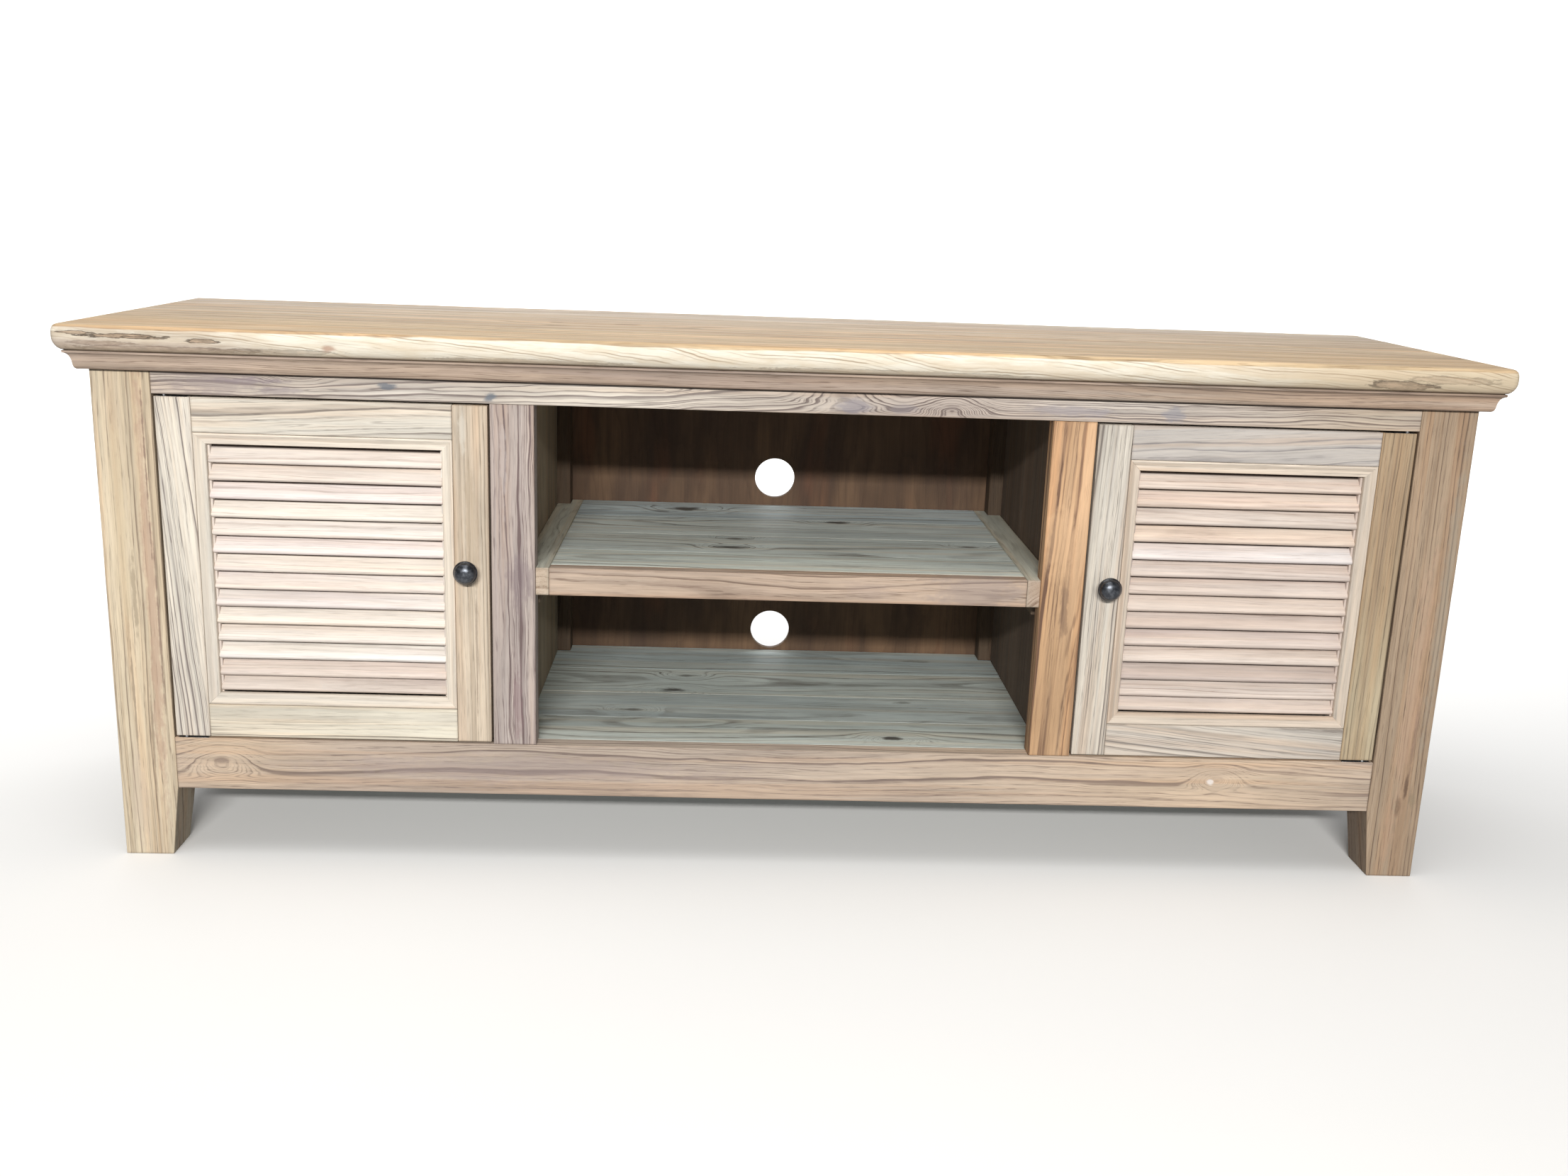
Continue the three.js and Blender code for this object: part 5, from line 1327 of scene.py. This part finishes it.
    # knob and its screw
    kb = lathe("%s_knob" % body, KNOB, (sx * 0.366, FY - G, 0.3555), "y", -1, 64)
    smooth(kb, 45)
    finish_piece(kb, pewter, body, "knob", "door_%s_knob" % tag)
    head = [(0, 0), (0.0038, 0), (0.0042, 0.0003), (0.0042, 0.0008), (0.0039, 0.0014), (0.0030, 0.0019), (0.0016, 0.00215), (0, 0.0022)]
    hd = lathe("%s_knob_screw_head" % body, head, (sx * 0.366, FY + 0.022 + G, 0.3555), "y", 1, 40)
    cut(hd, tool_box((sx * 0.366 - 0.0032, FY + 0.0236, 0.3555 - 0.0004), (sx * 0.366 + 0.0032, FY + 0.026, 0.3555 + 0.0004)),
        tool_box((sx * 0.366 - 0.0004, FY + 0.0236, 0.3555 - 0.0032), (sx * 0.366 + 0.0004, FY + 0.026, 0.3555 + 0.0032)))
    tidy(hd)
    smooth(hd, 35)
    finish_piece(hd, zinc, body, "screw", "door_%s_knob_screw" % tag)


# ------------------------------------------------------------------ small metal and plastic pieces: eased copies of the CAD solids
def eased(node, mat, body, slot, width=0.0003, segments=2):
    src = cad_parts[node]
    me = src.data.copy()
    ob = bpy.data.objects.new("fine_" + node, me)
    coll.objects.link(ob)
    bm = bmesh.new()
    bm.from_mesh(me)
    bmesh.ops.remove_doubles(bm, verts=bm.verts, dist=1e-6)
    bmesh.ops.dissolve_limit(bm, angle_limit=math.radians(1.0), verts=bm.verts, edges=bm.edges)
    bmesh.ops.recalc_face_normals(bm, faces=bm.faces)
    sharp = [e for e in bm.edges if len(e.link_faces) == 2 and e.calc_face_angle(0) > math.radians(40)]
    bmesh.ops.bevel(bm, geom=sharp, offset=width, segments=segments, profile=0.5, affect="EDGES", clamp_overlap=True)
    bm.to_mesh(me)
    bm.free()
    for a in [a for a in me.attributes if a.name in ("custom_normal",)]:
        me.attributes.remove(a)
    smooth(ob, 35)
    return finish_piece(ob, mat, body, slot, node)


plastic = metal("black_plastic", (0.018, 0.018, 0.020), rough=0.5, metallic=0.0, wear=(0.05, 0.05, 0.05), wear_amt=0.3, scale=300.0, bump=0.2)
for tag, sx in (("left", -1), ("right", 1)):
    body = tag + "_door"
    eased("door_catch_" + tag, plastic, "cabinet", "catch", 0.0008, 3)
    eased("door_%s_strike" % tag, zinc, body, "screw", 0.0003)
    for w in ("upper", "lower"):
        eased("hinge_%s_%s_cabinet_leaf" % (tag, w), steel, "cabinet", "hinge", 0.00025)
        eased("door_%s_hinge_leaf_%s" % (tag, w), steel, body, "hinge", 0.00025)


# ------------------------------------------------------------------ camera, light, floor
def camera():
    cam = bpy.data.cameras.new("camera")
    ob = bpy.data.objects.new("camera", cam)
    coll.objects.link(ob)
    pi_, ya_, ro_ = math.radians(-14.33), math.radians(-2.34), math.radians(2.04)
    fwd = Vector((-math.sin(ya_) * math.cos(pi_), math.cos(ya_) * math.cos(pi_), math.sin(pi_)))
    right = Vector((math.cos(ya_), math.sin(ya_), 0))
    up = right.cross(fwd)
    r2 = math.cos(ro_) * right + math.sin(ro_) * up
    u2 = -math.sin(ro_) * right + math.cos(ro_) * up
    m = Matrix.Identity(4)
    for i in range(3):
        m[i][0], m[i][1], m[i][2] = r2[i], u2[i], -fwd[i]
    m.translation = Vector((-0.0744, -1.8617, 0.7694))
    ob.matrix_world = m
    cam.sensor_width = 36.0
    cam.lens = 36.0 * 2117.7 / 2212
    cam.clip_start, cam.clip_end = 0.05, 60
    scene.camera = ob


camera()


def area(name, loc, target, size, energy, colour=(1, 1, 1)):
    li = bpy.data.lights.new(name, "AREA")
    li.shape = "RECTANGLE"
    li.size, li.size_y = size
    li.energy = energy
    li.color = colour
    ob = bpy.data.objects.new(name, li)
    coll.objects.link(ob)
    ob.location = loc
    ob.rotation_euler = (Vector(target) - Vector(loc)).to_track_quat("-Z", "Y").to_euler()
    return ob


area("key", (-0.25, -4.2, 1.95), (-0.05, -0.2, 0.33), (1.7, 0.16), 190, (1.0, 0.985, 0.955))
area("over", (-0.6, -0.6, 3.2), (0, 0, 0.5), (2.6, 1.8), 44, (1.0, 0.98, 0.95))
area("backdrop", (0, 2.2, 3.6), (0, 5.4, 1.0), (5.0, 1.2), 420, (1, 1, 1))

world = bpy.data.worlds.new("studio")
scene.world = world
world.use_nodes = True
bg = world.node_tree.nodes["Background"]
bg.inputs["Color"].default_value = (0.98, 0.985, 1.0, 1)
bg.inputs["Strength"].default_value = 0.26

# a pale floor that sweeps up into a backdrop
def sweep():
    prof = [(-9.0, 0.0), (3.0, 0.0)]
    for i in range(1, 13):
        a = math.radians(90 * i / 12)
        prof.append((3.0 + 2.0 * math.sin(a), 2.0 - 2.0 * math.cos(a)))
    prof.append((5.0, 7.0))
    verts, faces = [], []
    for x in (-12.0, 12.0):
        for y, z in prof:
            verts.append((x, y, z))
    n = len(prof)
    for i in range(n - 1):
        faces.append((i, i + 1, n + i + 1, n + i))
    ob = mesh_object("floor", verts, faces)
    bm = bmesh.new()
    bm.from_mesh(ob.data)
    bmesh.ops.recalc_face_normals(bm, faces=bm.faces)
    bm.to_mesh(ob.data)
    bm.free()
    ob.data.polygons.foreach_set("use_smooth", [True] * len(ob.data.polygons))
    if ob.data.polygons[0].normal.z < 0:
        ob.data.flip_normals()
    mat = bpy.data.materials.new("floor_paint")
    T = Tree(mat)
    tc = T.new("ShaderNodeTexCoord").outputs["Object"]
    n1 = T.noise(tc, (1.5, 1.5, 1.5), 3.0, 0.5)
    col = T.mix(n1, (0.86, 0.86, 0.855), (0.88, 0.88, 0.875))
    s = T.new("ShaderNodeBsdfPrincipled")
    T.put(s.inputs["Base Color"], col)
    s.inputs["Roughness"].default_value = 0.9
    s.inputs["Specular IOR Level"].default_value = 0.1
    out = T.new("ShaderNodeOutputMaterial")
    T.put(out.inputs["Surface"], s.outputs[0])
    ob.data.materials.append(mat)
    ob.visible_diffuse = False


sweep()
scene.view_settings.view_transform = "Standard"
